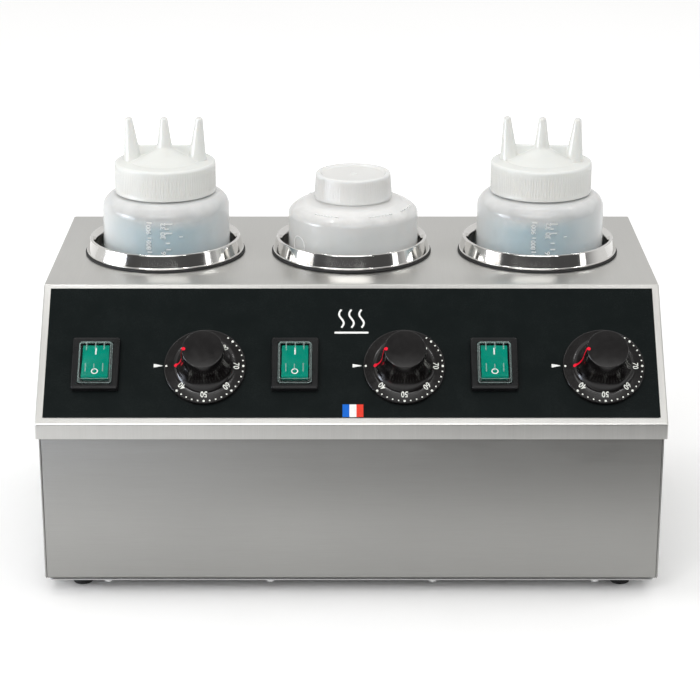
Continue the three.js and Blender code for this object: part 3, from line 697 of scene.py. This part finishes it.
def feet():
    for n in range(1, 5):
        x, y, _ = middle_of(f"foot_{n}")
        top = box_mm(f"foot_{n}")[1][2]
        seat = [(0, 2.2), (3.2, 2.2, 0.3), (3.2, 0, 0.5), (6.2, 0, 0.7)]
        foot = lathe(rounded(seat + [(8, top - 1.7, 0.8), (8, top, 0.4), (0, top)], 4), 48, (x, y))
        piece(f"rubber_foot_{n}", foot, "casing", "rubber", [f"foot_{n}"])
        head = lathe(rounded([(0, 2.3), (2.9, 2.3), (2.9, 1.4, 0.6), (0, 1.1)], 3)[::-1], 28, (x, y))
        recess = [shifted(rounded_rect(*half, 0.2, 2), x, y) for half in ((2.0, 0.35), (0.35, 2.0))]
        head = boolean(head, "DIFFERENCE", *[prism(bar, 0, 1.9) for bar in recess])
        piece(f"foot_screw_{n}", head, "casing", "screw")


def pan_screw(length):
    """A pan head with a cross recess, its shank up Z from the seat at height 0."""
    head = [(0, -2.6), (2.6, -2.45, 1.2), (3.55, -1.0, 1.6), (3.6, 0, 0.15)]
    screw = lathe(rounded(head + [(1.9, 0), (1.9, length, 0.4), (0, length)], 5), 40)
    recess = []
    for wide, narrow in (((2.3, 0.42), (1.3, 0.3)), ((0.42, 2.3), (0.3, 1.3))):
        foot, mouth = rounded_rect(*narrow, 0.15, 2), rounded_rect(*wide, 0.2, 2)
        recess.append(loft([flat(mouth, -3.2), flat(foot, -1.2)]))
    return boolean(screw, "DIFFERENCE", *recess)


def screws():
    """Each has its cross recess at an angle of its own."""
    long, short = pan_screw(8), pan_screw(7)
    for n, (x, y) in enumerate(plate_screw_places(), 1):
        node = f"bottom_screw_{n}"
        place = at(x, y, box_mm(node)[1][2] - 8) @ Matrix.Rotation(0.5 + n * 1.1, 4, "Z")
        piece(f"plate_screw_{n}", moved(long, place), "casing", "screw", [node])
    for n in (1, 2):
        node = f"cover_screw_{n}"
        x, _, z = middle_of(node)
        place = at(x, box_mm(node)[0][1] + 7, z) @ turned(90) @ Matrix.Rotation(0.3 + n, 4, "Z")
        piece(f"lid_screw_{n}", moved(short, place), "casing", "screw", [node])


# ---- Wells
def wells():
    rim = TOP + 11.3
    foot = TOP + 1.8
    outside = [
        (0, FLOOR_Z - 1), (48, FLOOR_Z - 1, 5), (48, rim - 4.0, 2), (49.4, rim - 1.1, 0.6),
        (49.9, rim - 1.1, 0.4), (51.9, foot + 0.9, 0.8), (51.9, foot),
        (53.4, foot, 0.25), (53.4, foot + 0.9, 0.4),
    ]
    inside = [
        (52.95, foot + 0.95, 0.4), (50.95, rim - 0.6, 0.5), (50.5, rim, 0.45), (49.4, rim, 0.5),
        (47, rim - 3.2, 2.5), (47, FLOOR_Z, 4), (0, FLOOR_Z),
    ]
    profile = rounded(outside + inside, 7)
    for n in STATIONS:
        x = STATION_X[n]

        def around(p, normal):
            return atan2(p.y - WELL_Y, p.x - x) * 50, p.z + hypot(p.x - x, p.y - WELL_Y)

        collar = lathe(profile, 160, (x, WELL_Y))
        piece(f"collar_{n}", collar, "casing", "collar", [f"well_{n}"], uv=around)
        low, high = box_mm(f"well_gasket_{n}")
        inner, outer = 50.7, high[0] - x
        ring = rounded([(inner, low[2]), (outer, low[2], 0.3), (outer, high[2], 0.5), (inner, high[2])], 4)
        gasket = lathe(ring + ring[:1], 128, (x, WELL_Y))
        piece(f"gasket_{n}", gasket, "casing", "rubber", [f"well_gasket_{n}"])


# ---- Things that lie on a surface
def on_face(part, x, row):
    return moved(part, FACE @ at(x, row))


def draped(outlines, height, lift, sink=0.12):
    """Thin closed plates that lie on a surface: outlines in the plane, height(x, y) of the surface."""
    parts = []
    for outline in outlines:
        parts.append(loft([[(x, y, height(x, y) + rise) for x, y in outline] for rise in (-sink, lift)]))
    return joined(*parts)


def lettering(text, size, bold):
    """The text's shapes as a thin closed part, centred on the origin, between heights 0 and 1."""
    curve = bpy.data.curves.new("text", "FONT")
    curve.body = text
    curve.size = size / 0.7  # so that size is a digit's height
    curve.extrude = 0.5
    curve.offset = bold
    curve.resolution_u = 4
    curve.align_x = "CENTER"
    made = linked("text", curve)
    mesh = made.evaluated_get(bpy.context.evaluated_depsgraph_get()).to_mesh()
    verts = [(v.co.x, v.co.y - size / 2, v.co.z + 0.5) for v in mesh.vertices]
    faces = [list(p.vertices) for p in mesh.polygons]
    bpy.data.objects.remove(made)
    bm = to_bmesh((verts, faces))
    bmesh.ops.remove_doubles(bm, verts=bm.verts, dist=1e-4)
    bmesh.ops.recalc_face_normals(bm, faces=bm.faces)
    return from_bmesh(bm)


def settle(part, place, height, lift, sink=0.12):
    """A flat part laid on a surface: place(x, y) moves it, height(x, y) raises it."""
    verts = []
    for x, y, z in part[0]:
        px, py = place(x, y)
        verts.append((px, py, height(px, py) + (lift if z > 0.5 else -sink)))
    return verts, part[1]


def wrapped(part, x, radius, z, offset):
    """A flat part (x across, y up) wrapped on the front of a cylinder about a station's axis."""
    verts = []
    for px, py, pz in part[0]:
        angle = (px + offset) / radius
        r = radius + (0.3 if pz > 0.5 else -0.15)
        verts.append((x + r * sin(angle), WELL_Y - r * cos(angle), z + py))
    return verts, part[1]


# ---- Dials
BASE = 1.0  # the knob's underside over the control face
KNOB_TOP = 28.95
SKIRT = 26
DECK = BASE + 3.1  # the flat of the skirt, which carries the scale
FOOT, WAIST, RISE = 20.6, 14.0, 15.0  # the flare from the skirt up to the grip
CROWN = 13.1
DOT_CIRCLE = 24.5


def knob_surface():
    """From the rim of the skirt up the outside to the axis."""
    skirt = [(SKIRT, BASE, 0.3), (SKIRT, DECK - 0.35, 0.35), (SKIRT - 0.55, DECK, 0.4), (FOOT, DECK)]
    points = rounded(skirt, 5)
    for k in range(1, 15):
        angle = pi / 2 * k / 14
        points.append((FOOT - (FOOT - WAIST) * sin(angle), DECK + RISE * (1 - cos(angle))))
    return points + rounded([(WAIST, DECK + RISE), (CROWN, KNOB_TOP, 0.6), (0, KNOB_TOP)], 6)[1:]


def knob_underside():
    """From the spindle's bore out under the grip and the skirt."""
    socket = [(0, 19.3), (3.05, 19.3), (3.05, BASE), (6, BASE, 0.3), (6, BASE + 20)]
    hollow = [(10.8, BASE + 20, 1), (12.2, BASE + 1, 0.5), (14.5, BASE + 0.9)]
    return rounded(socket + hollow + [(SKIRT - 1.4, BASE + 0.6), (SKIRT - 1.2, BASE)], 3)


def height_on(curve, r):
    """The greatest height that the curve has at a radius."""
    best = 0
    for (r0, z0), (r1, z1) in zip(curve, curve[1:]):
        if min(r0, r1) - 1e-6 <= r <= max(r0, r1) + 1e-6 and abs(r1 - r0) > 1e-6:
            best = max(best, z0 + (z1 - z0) * (r - r0) / (r1 - r0))
    return best


def dial_ink(surface):
    """Dots from 40 to 82 degrees, 9 degrees of turn apart, with a large one at each number."""
    dots = [disc(-DOT_CIRCLE, 0, 0.7)]
    for k in range(22):
        angle = radians(180 + 45 + 9 * k)
        dots.append(disc(DOT_CIRCLE * cos(angle), DOT_CIRCLE * sin(angle), 0.52 if k % 5 else 0.78))
    digits = []
    for k, text in enumerate(("40", "50", "60", "70", "80")):
        angle = radians(180 + 45 * (k + 1))
        c, s = cos(angle), sin(angle)
        reach = 17.6 if text == "80" else 20.2

        def place(x, y):  # the digits' tops point out from the axis
            return c * (reach + y) + s * 0.9 * x, s * (reach + y) - c * 0.9 * x

        digits.append(settle(lettering(text, 3.6, 0.06), place, surface, 0.06))
    return joined(draped(dots, surface, 0.06), *digits)


def dial_pointer(outside, surface):
    """The red line: from the skirt up the grip and onto its top, with round ends."""
    path = [(18.4, height_on(outside, 18.4))]
    path += [(r, z) for r, z in outside if 12.6 <= r <= 18.0]
    path += [(12.4, height_on(outside, 12.4))]
    half = 0.62
    strip = []
    for i, (r, z) in enumerate(path):
        before, after = path[max(0, i - 1)], path[min(len(path) - 1, i + 1)]
        along = Vector((after[0] - before[0], after[1] - before[1])).normalized()
        out = Vector((along.y, -along.x))
        if out.dot(Vector((0.5, 1))) < 0:
            out = -out
        low, high = Vector((r, z)) - out * 0.2, Vector((r, z)) + out * 0.1
        strip.append([(-p.x, y, p.y) for p, y in ((low, -half), (high, -half), (high, half), (low, half))])
    ends = [draped([disc(-r, 0, 1.15, 28)], surface, 0.12, 0.3) for r in (18.4, 11.9)]
    return boolean(loft(strip), "UNION", *ends)


def knobs():
    outside = knob_surface()
    surface = lambda x, y: height_on(outside, hypot(x, y))
    ink = dial_ink(surface)
    pointer = dial_pointer(outside, surface)
    body = lathe(knob_underside() + outside, 144)
    for n in STATIONS:
        for name, part, material, stands_for, angle in (
            ("dial", body, "knob", [f"knob_{n}"], 40),
            ("dial_marks", ink, "cream", (), 32),
            ("dial_pointer", pointer, "red", (), 32),
        ):
            placed = on_face(part, KNOB_X[n], KNOB_ROW)
            piece(f"{name}_{n}", placed, f"knob_{n}", material, stands_for, angle)


# ---- Switches
def switch_frame():
    """The body behind the face, then up the frame's outside, over its edge and down into the opening."""
    edge = rounded([(0, 1.0), (0, 6.0, 1.1), (4.2, 6.0, 0.3), (4.2, 1.0)], 4)
    loops = [(0.5, 0.5, 0.1, -24), (10.4, 14.4, 0.8, -24), (10.7, 14.7, 0.8, -23.6), (10.7, 14.7, 0.8, 1.0)]
    loops += [(15 - d, 18.1 - d * 3.4 / 4.2, max(0.4, 1.5 - d * 0.2), z) for d, z in edge]
    loops += [(9.5, 13.8, 0.8, 1.0), (9.5, 13.8, 0.8, -5.0), (0.5, 0.5, 0.1, -5.0)]
    housing = loft([flat(rounded_rect(hx, hy, radius), z) for hx, hy, radius, z in loops])
    tabs = [bevelled(prism(rect(x, y, 0.4, 3), -32, -22), 0.3, 2, 60) for x in (-5, 5) for y in (-8, 8)]
    return boolean(housing, "UNION", *tabs)


ROCKER_DISH = ((-9, 7.85), (-5, 7.45), (-1.5, 7.25), (1.5, 7.25), (5, 7.45), (9, 7.85))
ROCKER_CROWN = [(-12.4, 8.0), *ROCKER_DISH, (11.6, 8.0)]


def rocker_button():
    """Two shallow dished faces on a pivot, drawn level."""
    crown = [(-12.4, 8.0, 0.5), *ROCKER_DISH, (11.6, 8.0, 0.5)]
    outline = rounded(crown + [(12.0, 5.8), (9.6, -2), (-9.6, -2), (-12.8, 5.8)], 4, closed=True)
    button = bevelled(extruded_x(outline, -8.5, 8.5), 0.35, 3, 50)
    return boolean(button, "UNION", moved(rod(1.5, -9.4, 9.4, 24), turned(90, "Y")))


def rocker_height(x, y):
    for (y0, z0), (y1, z1) in zip(ROCKER_CROWN, ROCKER_CROWN[1:]):
        if y0 <= y <= y1:
            return z0 + (z1 - z0) * (y - y0) / (y1 - y0)
    return 8.0


def rocker_marks():
    """A stroke for on and a ring for off."""
    stroke = draped([shifted(rounded_rect(0.42, 2.4, 0.15, 2), 0, 7.2)], rocker_height, 0.06)
    loops = []
    for radius, rise in ((2.2, -0.12), (2.2, 0.06), (1.55, 0.06), (1.55, -0.12)):
        loops.append([(x, y, rocker_height(x, y) + rise) for x, y in disc(0, -8.2, radius, 40)])
    return joined(stroke, loft(loops, closed=True))


def splash_loop(inset, z, radius):
    return flat(shifted(rounded_rect(10.6 - inset * 0.7, 14.2 - inset, radius), 0, -0.3), z)


def splash_shell():
    """A thin soft dome over the rocker."""
    outer = rounded([(0.0, 6.3), (0.0, 7.2, 0.4), (0.9, 9.7), (1.4, 10.5, 0.8), (5, 10.6)], 4)
    inner = rounded([(0.8, 6.3), (0.8, 7.2, 0.3), (1.6, 9.4), (2.1, 9.9, 0.5), (5, 9.95)], 4)
    return loft([splash_loop(d, z, max(0.5, 2.4 - d)) for d, z in inner[::-1] + outer])


def splash_ribs():
    """Moulded bars on its crown, and beads round its crown and its foot."""
    parts = []
    for x, y, half in (
        (-5.5, 9.4, 2.9), (0.2, 9.4, 2.6), (5.7, 9.6, 2.5),
        (-5.6, -5.6, 2.9), (-0.2, -5.4, 2.3), (5.4, -5.6, 2.9),
    ):
        parts.append(bevelled(prism(rect(x, y, 0.35, half), 10.4, 10.9), 0.2, 2, 60))
    for inset, z, lift in ((1.3, 10.25, 0.22), (0.0, 6.75, 0.28)):
        corner = 1.9 - inset * 0.5
        bead = [splash_loop(inset - a * 0.8, z + b, corner) for a, b in disc(0, 0, lift, 8)]
        parts.append(loft(bead, closed=True))
    return joined(*parts)


def switches():
    frame_part, shell, bars = switch_frame(), splash_shell(), splash_ribs()
    tipped = at(0, 0, -1) @ turned(-8.5)  # to on
    button, marks = moved(rocker_button(), tipped), moved(rocker_marks(), tipped)
    for n in STATIONS:
        rocker = f"rocker_{n}"
        for name, part, body, material, slot, stands_for, angle in (
            ("switch_frame", frame_part, "casing", "switch", "switch_black", [f"switch_housing_{n}"], 32),
            ("rocker_button", button, rocker, "rocker", "rocker_green", [f"switch_rocker_{n}"], 32),
            ("rocker_marks", marks, rocker, "white", "rocker_green", (), 32),
            ("splash_cover", shell, "casing", "clear", "splash_cover_clear", [f"switch_cover_{n}"], 50),
            ("splash_ribs", bars, "casing", "clear_rib", "splash_cover_clear", (), 32),
        ):
            placed = on_face(part, SWITCH_X[n], SWITCH_ROW)
            piece(f"{name}_{n}", placed, body, material, stands_for, angle)


# ---- Print on the film
def wave(x0, half=0.62, count=24):
    """An upright wavy stroke of even width."""
    middle = [(x0 + 1.5 * sin(i / count * 2 * pi), -32.0 + 13 * (i / count)) for i in range(count + 1)]
    left, right = [], []
    for i, (x, y) in enumerate(middle):
        before, after = middle[max(0, i - 1)], middle[min(count, i + 1)]
        along = Vector((after[0] - before[0], after[1] - before[1])).normalized() * half
        left.append((x - along.y, y + along.x))
        right.append((x + along.y, y - along.x))
    return left + right[::-1]


def overlay():
    restyle("control_overlay", "film")

    def print_on(name, outlines, ink, lift=0.05):
        sheet = draped(outlines, lambda x, y: 0.7, lift, 0.1)
        piece(name, moved(sheet, FACE), "casing", ink)

    wedges = []
    for n in STATIONS:
        x, y = KNOB_X[n], SWITCH_ROW + 0.3
        lower = [(x - 32.9, y - 1.0), (x - 32.6, y - 1.25), (x - 27.3, y - 0.2)]
        wedges.append(lower + [(x - 27.3, y + 0.2), (x - 32.6, y + 1.25), (x - 32.9, y + 1.0)])
    print_on("index_marks", wedges, "white")
    # a plain heat sign: three rising waves over a bar
    bar = shifted(rounded_rect(11, 0.7, 0.6, 4), 0, -35.6)
    print_on("heat_sign", [wave(k * 6.5) for k in (-1, 0, 1)] + [bar], "white")
    for name, k, ink in (("a", -1, "blue"), ("b", 0, "white"), ("c", 1, "vermilion")):
        print_on(f"sticker_{name}", [rect(0.9 + k * 4.4, -90.8, 2.2, 4.4)], ink, 0.09)


# ---- Bottles
WIDE, PLAIN = 42.8, 43.9  # radii of the two kinds of bottle
THREAD_LEAD = 5.0


def thread(neck, low, high, ridge):
    """Raises a helical ridge on a neck between two heights."""
    def radial(angle, r, z):
        if abs(r - neck) > 0.05 or not low <= z <= high:
            return r
        phase = ((z - low) / THREAD_LEAD - angle / (2 * pi)) % 1
        near = abs(phase - 0.5) * THREAD_LEAD
        fade = min(1, (z - low) / 1.5, (high - z) / 1.5)
        return r + ridge * max(0, 1 - (near / 1.1) ** 2) * max(0, fade)
    return radial


def upright(radius, low, high, rows):
    return [(radius, low + (high - low) * k / rows) for k in range(rows + 1)]


def dome(radius, z, wide, tall, rows):
    """A quarter of an ellipse, from its top outwards and down."""
    angles = [pi / 2 * k / rows for k in range(rows + 1)]
    return [(radius + wide * sin(angle), z + tall * cos(angle)) for angle in angles]


def foot_outside(bottom, radius, heel):
    return [(0, bottom + 2.5), (30, bottom + 2.2, 6), (heel, bottom, 4), (radius, bottom, 3.4)]


def foot_inside(bottom, radius):
    return [(radius, bottom + 1.2, 3), (36, bottom + 1.2, 3), (30, bottom + 3.6, 5), (0, bottom + 3.7)]


def wide_bottle(bottom):
    """Its profile up the outside and down the inside, and the thread on its neck."""
    z, wall, neck = TOP, WIDE - 1.2, 31
    profile = rounded(foot_outside(bottom, WIDE, 36) + [(WIDE, z + 20), (WIDE, z + 31.4)], 6)
    profile += dome(33.8, z + 31.5, 9, 10.1, 14)[-2::-1]
    profile += [(31.6, z + 41.7), (neck, z + 42.2)] + upright(neck, z + 42.6, z + 55.6, 32)
    profile += [(neck - 0.4, z + 56.3), (29.6, z + 56.3), (29.2, z + 55.9), (29.2, z + 41.6)]
    profile += dome(33.4, z + 31.3, 8.2, 8.9, 10)
    profile += rounded([(wall, z + 20)] + foot_inside(bottom, wall), 5)
    return profile, thread(neck, z + 44.5, z + 54.5, 0.75)


def plain_bottle(bottom):
    z, wall, neck = TOP, PLAIN - 1.2, 23.8
    shoulder = [(PLAIN, z + 10), (PLAIN, z + 29.6, 5.5), (39, z + 33.4, 5), (33, z + 36.2, 8)]
    shoulder.append((25.6, z + 37.0, 1.6))
    outside = rounded(foot_outside(bottom, PLAIN, 37) + shoulder + [(neck, z + 38.2)], 8)[:-1]
    outside += upright(neck, z + 38.4, z + 49.7, 28)
    inside = [(23.4, z + 50.3), (22.4, z + 50.3), (22.0, z + 49.9)]
    mouth = [(22.0, z + 49.5), (22.0, z + 36.4, 1.5), (26, z + 35.6, 3), (32.6, z + 34.8, 6)]
    mouth += [(38.2, z + 32.2, 4), (wall, z + 28.6, 4), (wall, z + 10)]
    inside += rounded(mouth + foot_inside(bottom, wall), 6)
    return outside + inside, thread(neck, z + 40, z + 48.8, 0.55)


def fill(radius, bottom, top, edge, x):
    """What the bottle holds: a column with a rounded meniscus."""
    foot = [(0, bottom + 4.2), (30, bottom + 4.0, 5), (36, bottom + 1.6, 3), (radius, bottom + 1.6, 3)]
    return lathe(rounded(foot + [(radius, top, edge), (0, top - 0.5)], 8), 96, (x, WELL_Y))


def graduations(x, lean):
    """Raised marks of a measuring scale: two columns of numbers on their side, with bars between."""
    parts = []

    def add(part, across, z):
        parts.append(wrapped(part, x, WIDE, TOP + z, lean + across))

    for text, size, across, z in (
        ("900", 3.1, -9.2, 26.6), ("800", 3.1, -9.2, 16.0), ("700", 3.1, -9.2, 6.2),
        ("32", 3.4, 0.4, 29.0), ("30", 3.4, 0.4, 22.6), ("26", 3.4, 0.4, 9.4),
    ):
        add(moved(lettering(text, size, 0.03), turned(90, "Z")), across, z)
    for half, across, z in (
        (2.4, 4.6, 30.4), (1.5, 2.9, 27.2), (2.2, 4.4, 24.2),
        (1.5, 3.6, 17.4), (1.8, 3.9, 13.0), (1.8, 3.6, 4.6),
        (1.9, -8.6, 31.4), (1.3, -8.6, 20.9), (1.6, -8.6, 11.2), (1.6, -8.6, 1.6),
    ):
        add(prism(rounded_rect(half, 0.38, 0.3, 3), 0, 1), across, z)
    for z in (21.4, 6.0):
        add(prism(rounded_rect(1.2, 0.3, 0.3, 3), 0, 1), 12.4, z)
    return joined(*parts)


def mould_marks(x):
    """Four groups of short raised dashes round the plain bottle's shoulder, and a ring low on its front."""
    parts = []
    for middle in (-118, -62, -22, 128):
        for k in range(-3, 4):
            dash = prism(rect(38.6 + 0.25 * (k % 2), 0, 0.32, 0.95), 32.2, 34.25)
            parts.append(moved(dash, at(x, WELL_Y, TOP) @ turned(middle + k * 3.8, "Z")))
    loops = []
    for size, z in ((1, 0), (1, 1), (0.91, 1), (0.91, 0)):
        loops.append([(a * 6.6 * size, b * 6.4 * size, z) for a, b in disc(0, 0, 1, 40)])
    parts.append(wrapped(loft(loops, closed=True), x, PLAIN, TOP + 11, -43))
    return joined(*parts)


# ---- Caps: built about the bottle's axis, with heights above the top plate
def ribs(radius, low, high, count, depth):
    """Cuts upright grooves into a skirt between two heights."""
    def radial(angle, r, z):
        if r < radius - 0.6 or not low <= z <= high:
            return r
        fade = max(0, min(1, (z - low) / 0.8, (high - z) / 0.8))
        return r - depth * fade * (0.5 + 0.5 * cos(angle * count)) ** 0.7
    return radial


def tube(rows, count):
    """Round sections, each given as (height, radius, x)."""
    return loft([flat(disc(x, 0, radius, count), z) for z, radius, x in rows])


def nozzle_cap():
    """A ribbed skirt, and a cone with three nozzles that a web joins."""
    r, bottom, deck, ceiling = 34, 43, 63.4, 58.4
    skirt = [(0, ceiling), (r - 1.9, ceiling)]
    skirt += rounded([(r - 1.7, bottom), (r, bottom, 0.35), (r, bottom + 1.2)], 3)
    skirt += upright(r, bottom + 1.4, deck - 3.6, 14)[1:]
    skirt += rounded([(r, deck - 3.6), (r, deck, 3.6), (24, deck + 0.5), (0, deck + 0.5)], 9)[1:]
    base = lathe(skirt, 480, radial=ribs(r, bottom + 0.9, deck - 3.2, 120, 0.32))

    apart, tip = 23.6, 92.8

    def nozzle(x, foot, lean, foot_radius):
        rows = []
        for t in [k / 14 for k in range(15)]:
            radius = foot_radius + (2.45 - foot_radius) * t ** 0.9
            rows.append((foot + (tip - 1.2 - foot) * t, radius, x - lean * (1 - t)))
        for angle in (25, 50, 70, 84):
            a = radians(angle)
            rows.append((tip - 1.2 + 1.2 * sin(a), 1.25 + 1.2 * cos(a), x))
        return tube(rows, 40)

    shoulder = [(0, deck - 3), (24, deck - 3), (24.6, deck + 0.2, 2), (13, deck + 4.6, 12)]
    cone = lathe(rounded(shoulder + [(5.2, 72.2, 3), (4.6, 74), (0, 74)], 8), 96)
    web = bevelled(prism(rounded_rect(apart - 1, 1.1, 0.5, 3), deck - 2, 74.0), 0.7, 3, 50)
    outer = [nozzle(side * apart, deck - 2, side * 2.0, 6.6) for side in (-1, 1)]
    blended = with_modifiers(
        joined(cone, web, *outer, nozzle(0, 68, 0, 5.9)),
        ("REMESH", {"mode": "VOXEL", "voxel_size": 0.42}),
        ("SMOOTH", {"factor": 0.5, "iterations": 5}),
    )
    bores = []
    for side in (-1, 1, 0):
        x, lean = side * apart, side * 2.0
        rows = [(ceiling - 2, 2.6, x - lean), (tip - 6, 1.2, x - lean * 0.2), (tip + 2, 1.1, x)]
        bores.append(tube(rows, 24))
    return boolean(boolean(base, "UNION", blended), "DIFFERENCE", *bores)


def small_cap():
    """A ribbed screw cap with a raised rim and a small button in the middle."""
    bottom, top, r, crown, ceiling = 38.7, 55.3, 26.3, 25.3, 52.4
    foot, head = bottom + 1.2, top - 2.4
    profile = [(0, ceiling), (r - 1.9, ceiling)]
    profile += rounded([(r - 1.7, bottom), (r, bottom, 0.3), (r - 0.1, bottom + 1)], 3)
    profile += [(r - (r - crown) * k / 14, foot + (head - foot) * k / 14) for k in range(15)]
    rim = [(crown, head), (crown - 0.2, top, 1.5), (crown - 3.0, top, 0.7), (crown - 4.4, top - 1.3, 1.0)]
    button = [(2.6, top - 1.3), (2.2, top - 0.95, 0.2), (1.5, top - 0.95, 0.2)]
    button += [(1.2, top - 1.3), (0, top - 1.3)]
    profile += rounded(rim + button, 7)[1:]
    return lathe(profile, 360, radial=ribs(crown + 0.3, bottom + 0.8, top - 2.0, 90, 0.22))


def bottles():
    three_nozzles, small = nozzle_cap(), small_cap()
    for n in STATIONS:
        x = BOTTLE_X[n]
        bottom = box_mm(f"bottle_{n}")[0][2]
        if n == 2:
            look, contents, plastic, cap, yaw = "plain_bottle", "plain_sauce", "small_cap", small, 0
            (profile, ridges), held = plain_bottle(bottom), fill(42.5, bottom, TOP + 27.5, 4, x)
            name, marks = "mould_marks", mould_marks(x)
        else:
            look, contents, plastic, cap, yaw = "bottle", "sauce", "cap", three_nozzles, 0 if n == 1 else -6.4
            (profile, ridges), held = wide_bottle(bottom), fill(41.3, bottom, TOP + 31, 6, x)
            name, marks = "volume_marks", graduations(x, 0.5 if n == 1 else 1.5)
        body, slot = f"bottle_{n}", "bottle_translucent"
        shell = lathe(profile, 144, (x, WELL_Y), ridges)
        piece(f"squeeze_bottle_{n}", shell, body, look, [body], angle=60)
        piece(f"sauce_{n}", held, body, contents, angle=60)
        piece(f"{name}_{n}", marks, body, "relief")
        placed = moved(cap, at(x, WELL_Y, TOP) @ turned(yaw, "Z"))
        piece(f"bottle_cap_{n}", placed, f"cap_{n}", plastic, [f"cap_{n}"], angle=40)
        low, high = box_mm(f"cap_seal_{n}")
        middle, half = (high[0] - x) - 2.25, (high[2] - low[2]) / 2
        ring = shifted(rounded_rect(2.25, half, 0.3, 3), middle, low[2] + half)
        seal = lathe(ring + ring[:1], 96, (x, WELL_Y))
        piece(f"ring_seal_{n}", seal, f"seal_{n}", "seal", [f"cap_seal_{n}"])


# ---- What the case holds, and the cable gland
def inner_parts():
    for n in STATIONS:
        restyle(f"heater_band_{n}", "mica")
        restyle(f"sensor_bulb_{n}", "copper")
        restyle(f"thermostat_{n}", "thermostat")
        restyle(f"knob_spindle_{n}", "spindle")
    restyle("terminal_block", "terminal")
    restyle("wiring_loom", "loom")
    restyle("gland_nut", "gland")


def gland():
    """A hexagon against the wall and a fluted dome nut round the bore."""
    start, end = WALL_REAR + 0.3, box_mm("cable_gland")[1][1]

    def flutes(angle, r, h):
        if r > 9 and start + 5.6 < h < start + 10.6:
            return r - 0.35 * (0.5 + 0.5 * cos(18 * angle))
        return r

    levels = ((11.3, start), (12, start + 0.5), (12, start + 4.5), (11.2, start + 5))
    hexagon = loft([flat(disc(0, 0, radius, 6), h) for radius, h in levels])
    profile = [(0, start - 8), (7.5, start - 8, 0.5), (7.5, start + 4)]
    profile += [(9.6, start + rise) for rise in (4, 5.4, 7, 9)]
    profile += [(9.6, start + 11, 1.0), (8.6, end - 3.4, 2.2), (6, end, 0.8), (0, end)]
    body = boolean(lathe(rounded(profile, 5), 144, radial=flutes), "UNION", hexagon)
    mouth = [(0, start - 20), (4, start - 20), (4, end - 1.5), (4.8, end + 0.5), (4.8, end + 5), (0, end + 5)]
    body = boolean(body, "DIFFERENCE", lathe(mouth, 48))
    x, _, z = middle_of("cable_gland")
    placed = moved(body, at(x, 0, z) @ turned(-90))
    piece("cord_gland", placed, "casing", "gland", ["cable_gland"])


top_cover()
walls()
feet()
screws()
wells()
overlay()
knobs()
switches()
bottles()
inner_parts()
gland()

bpy.context.scene.view_settings.view_transform = "Standard"
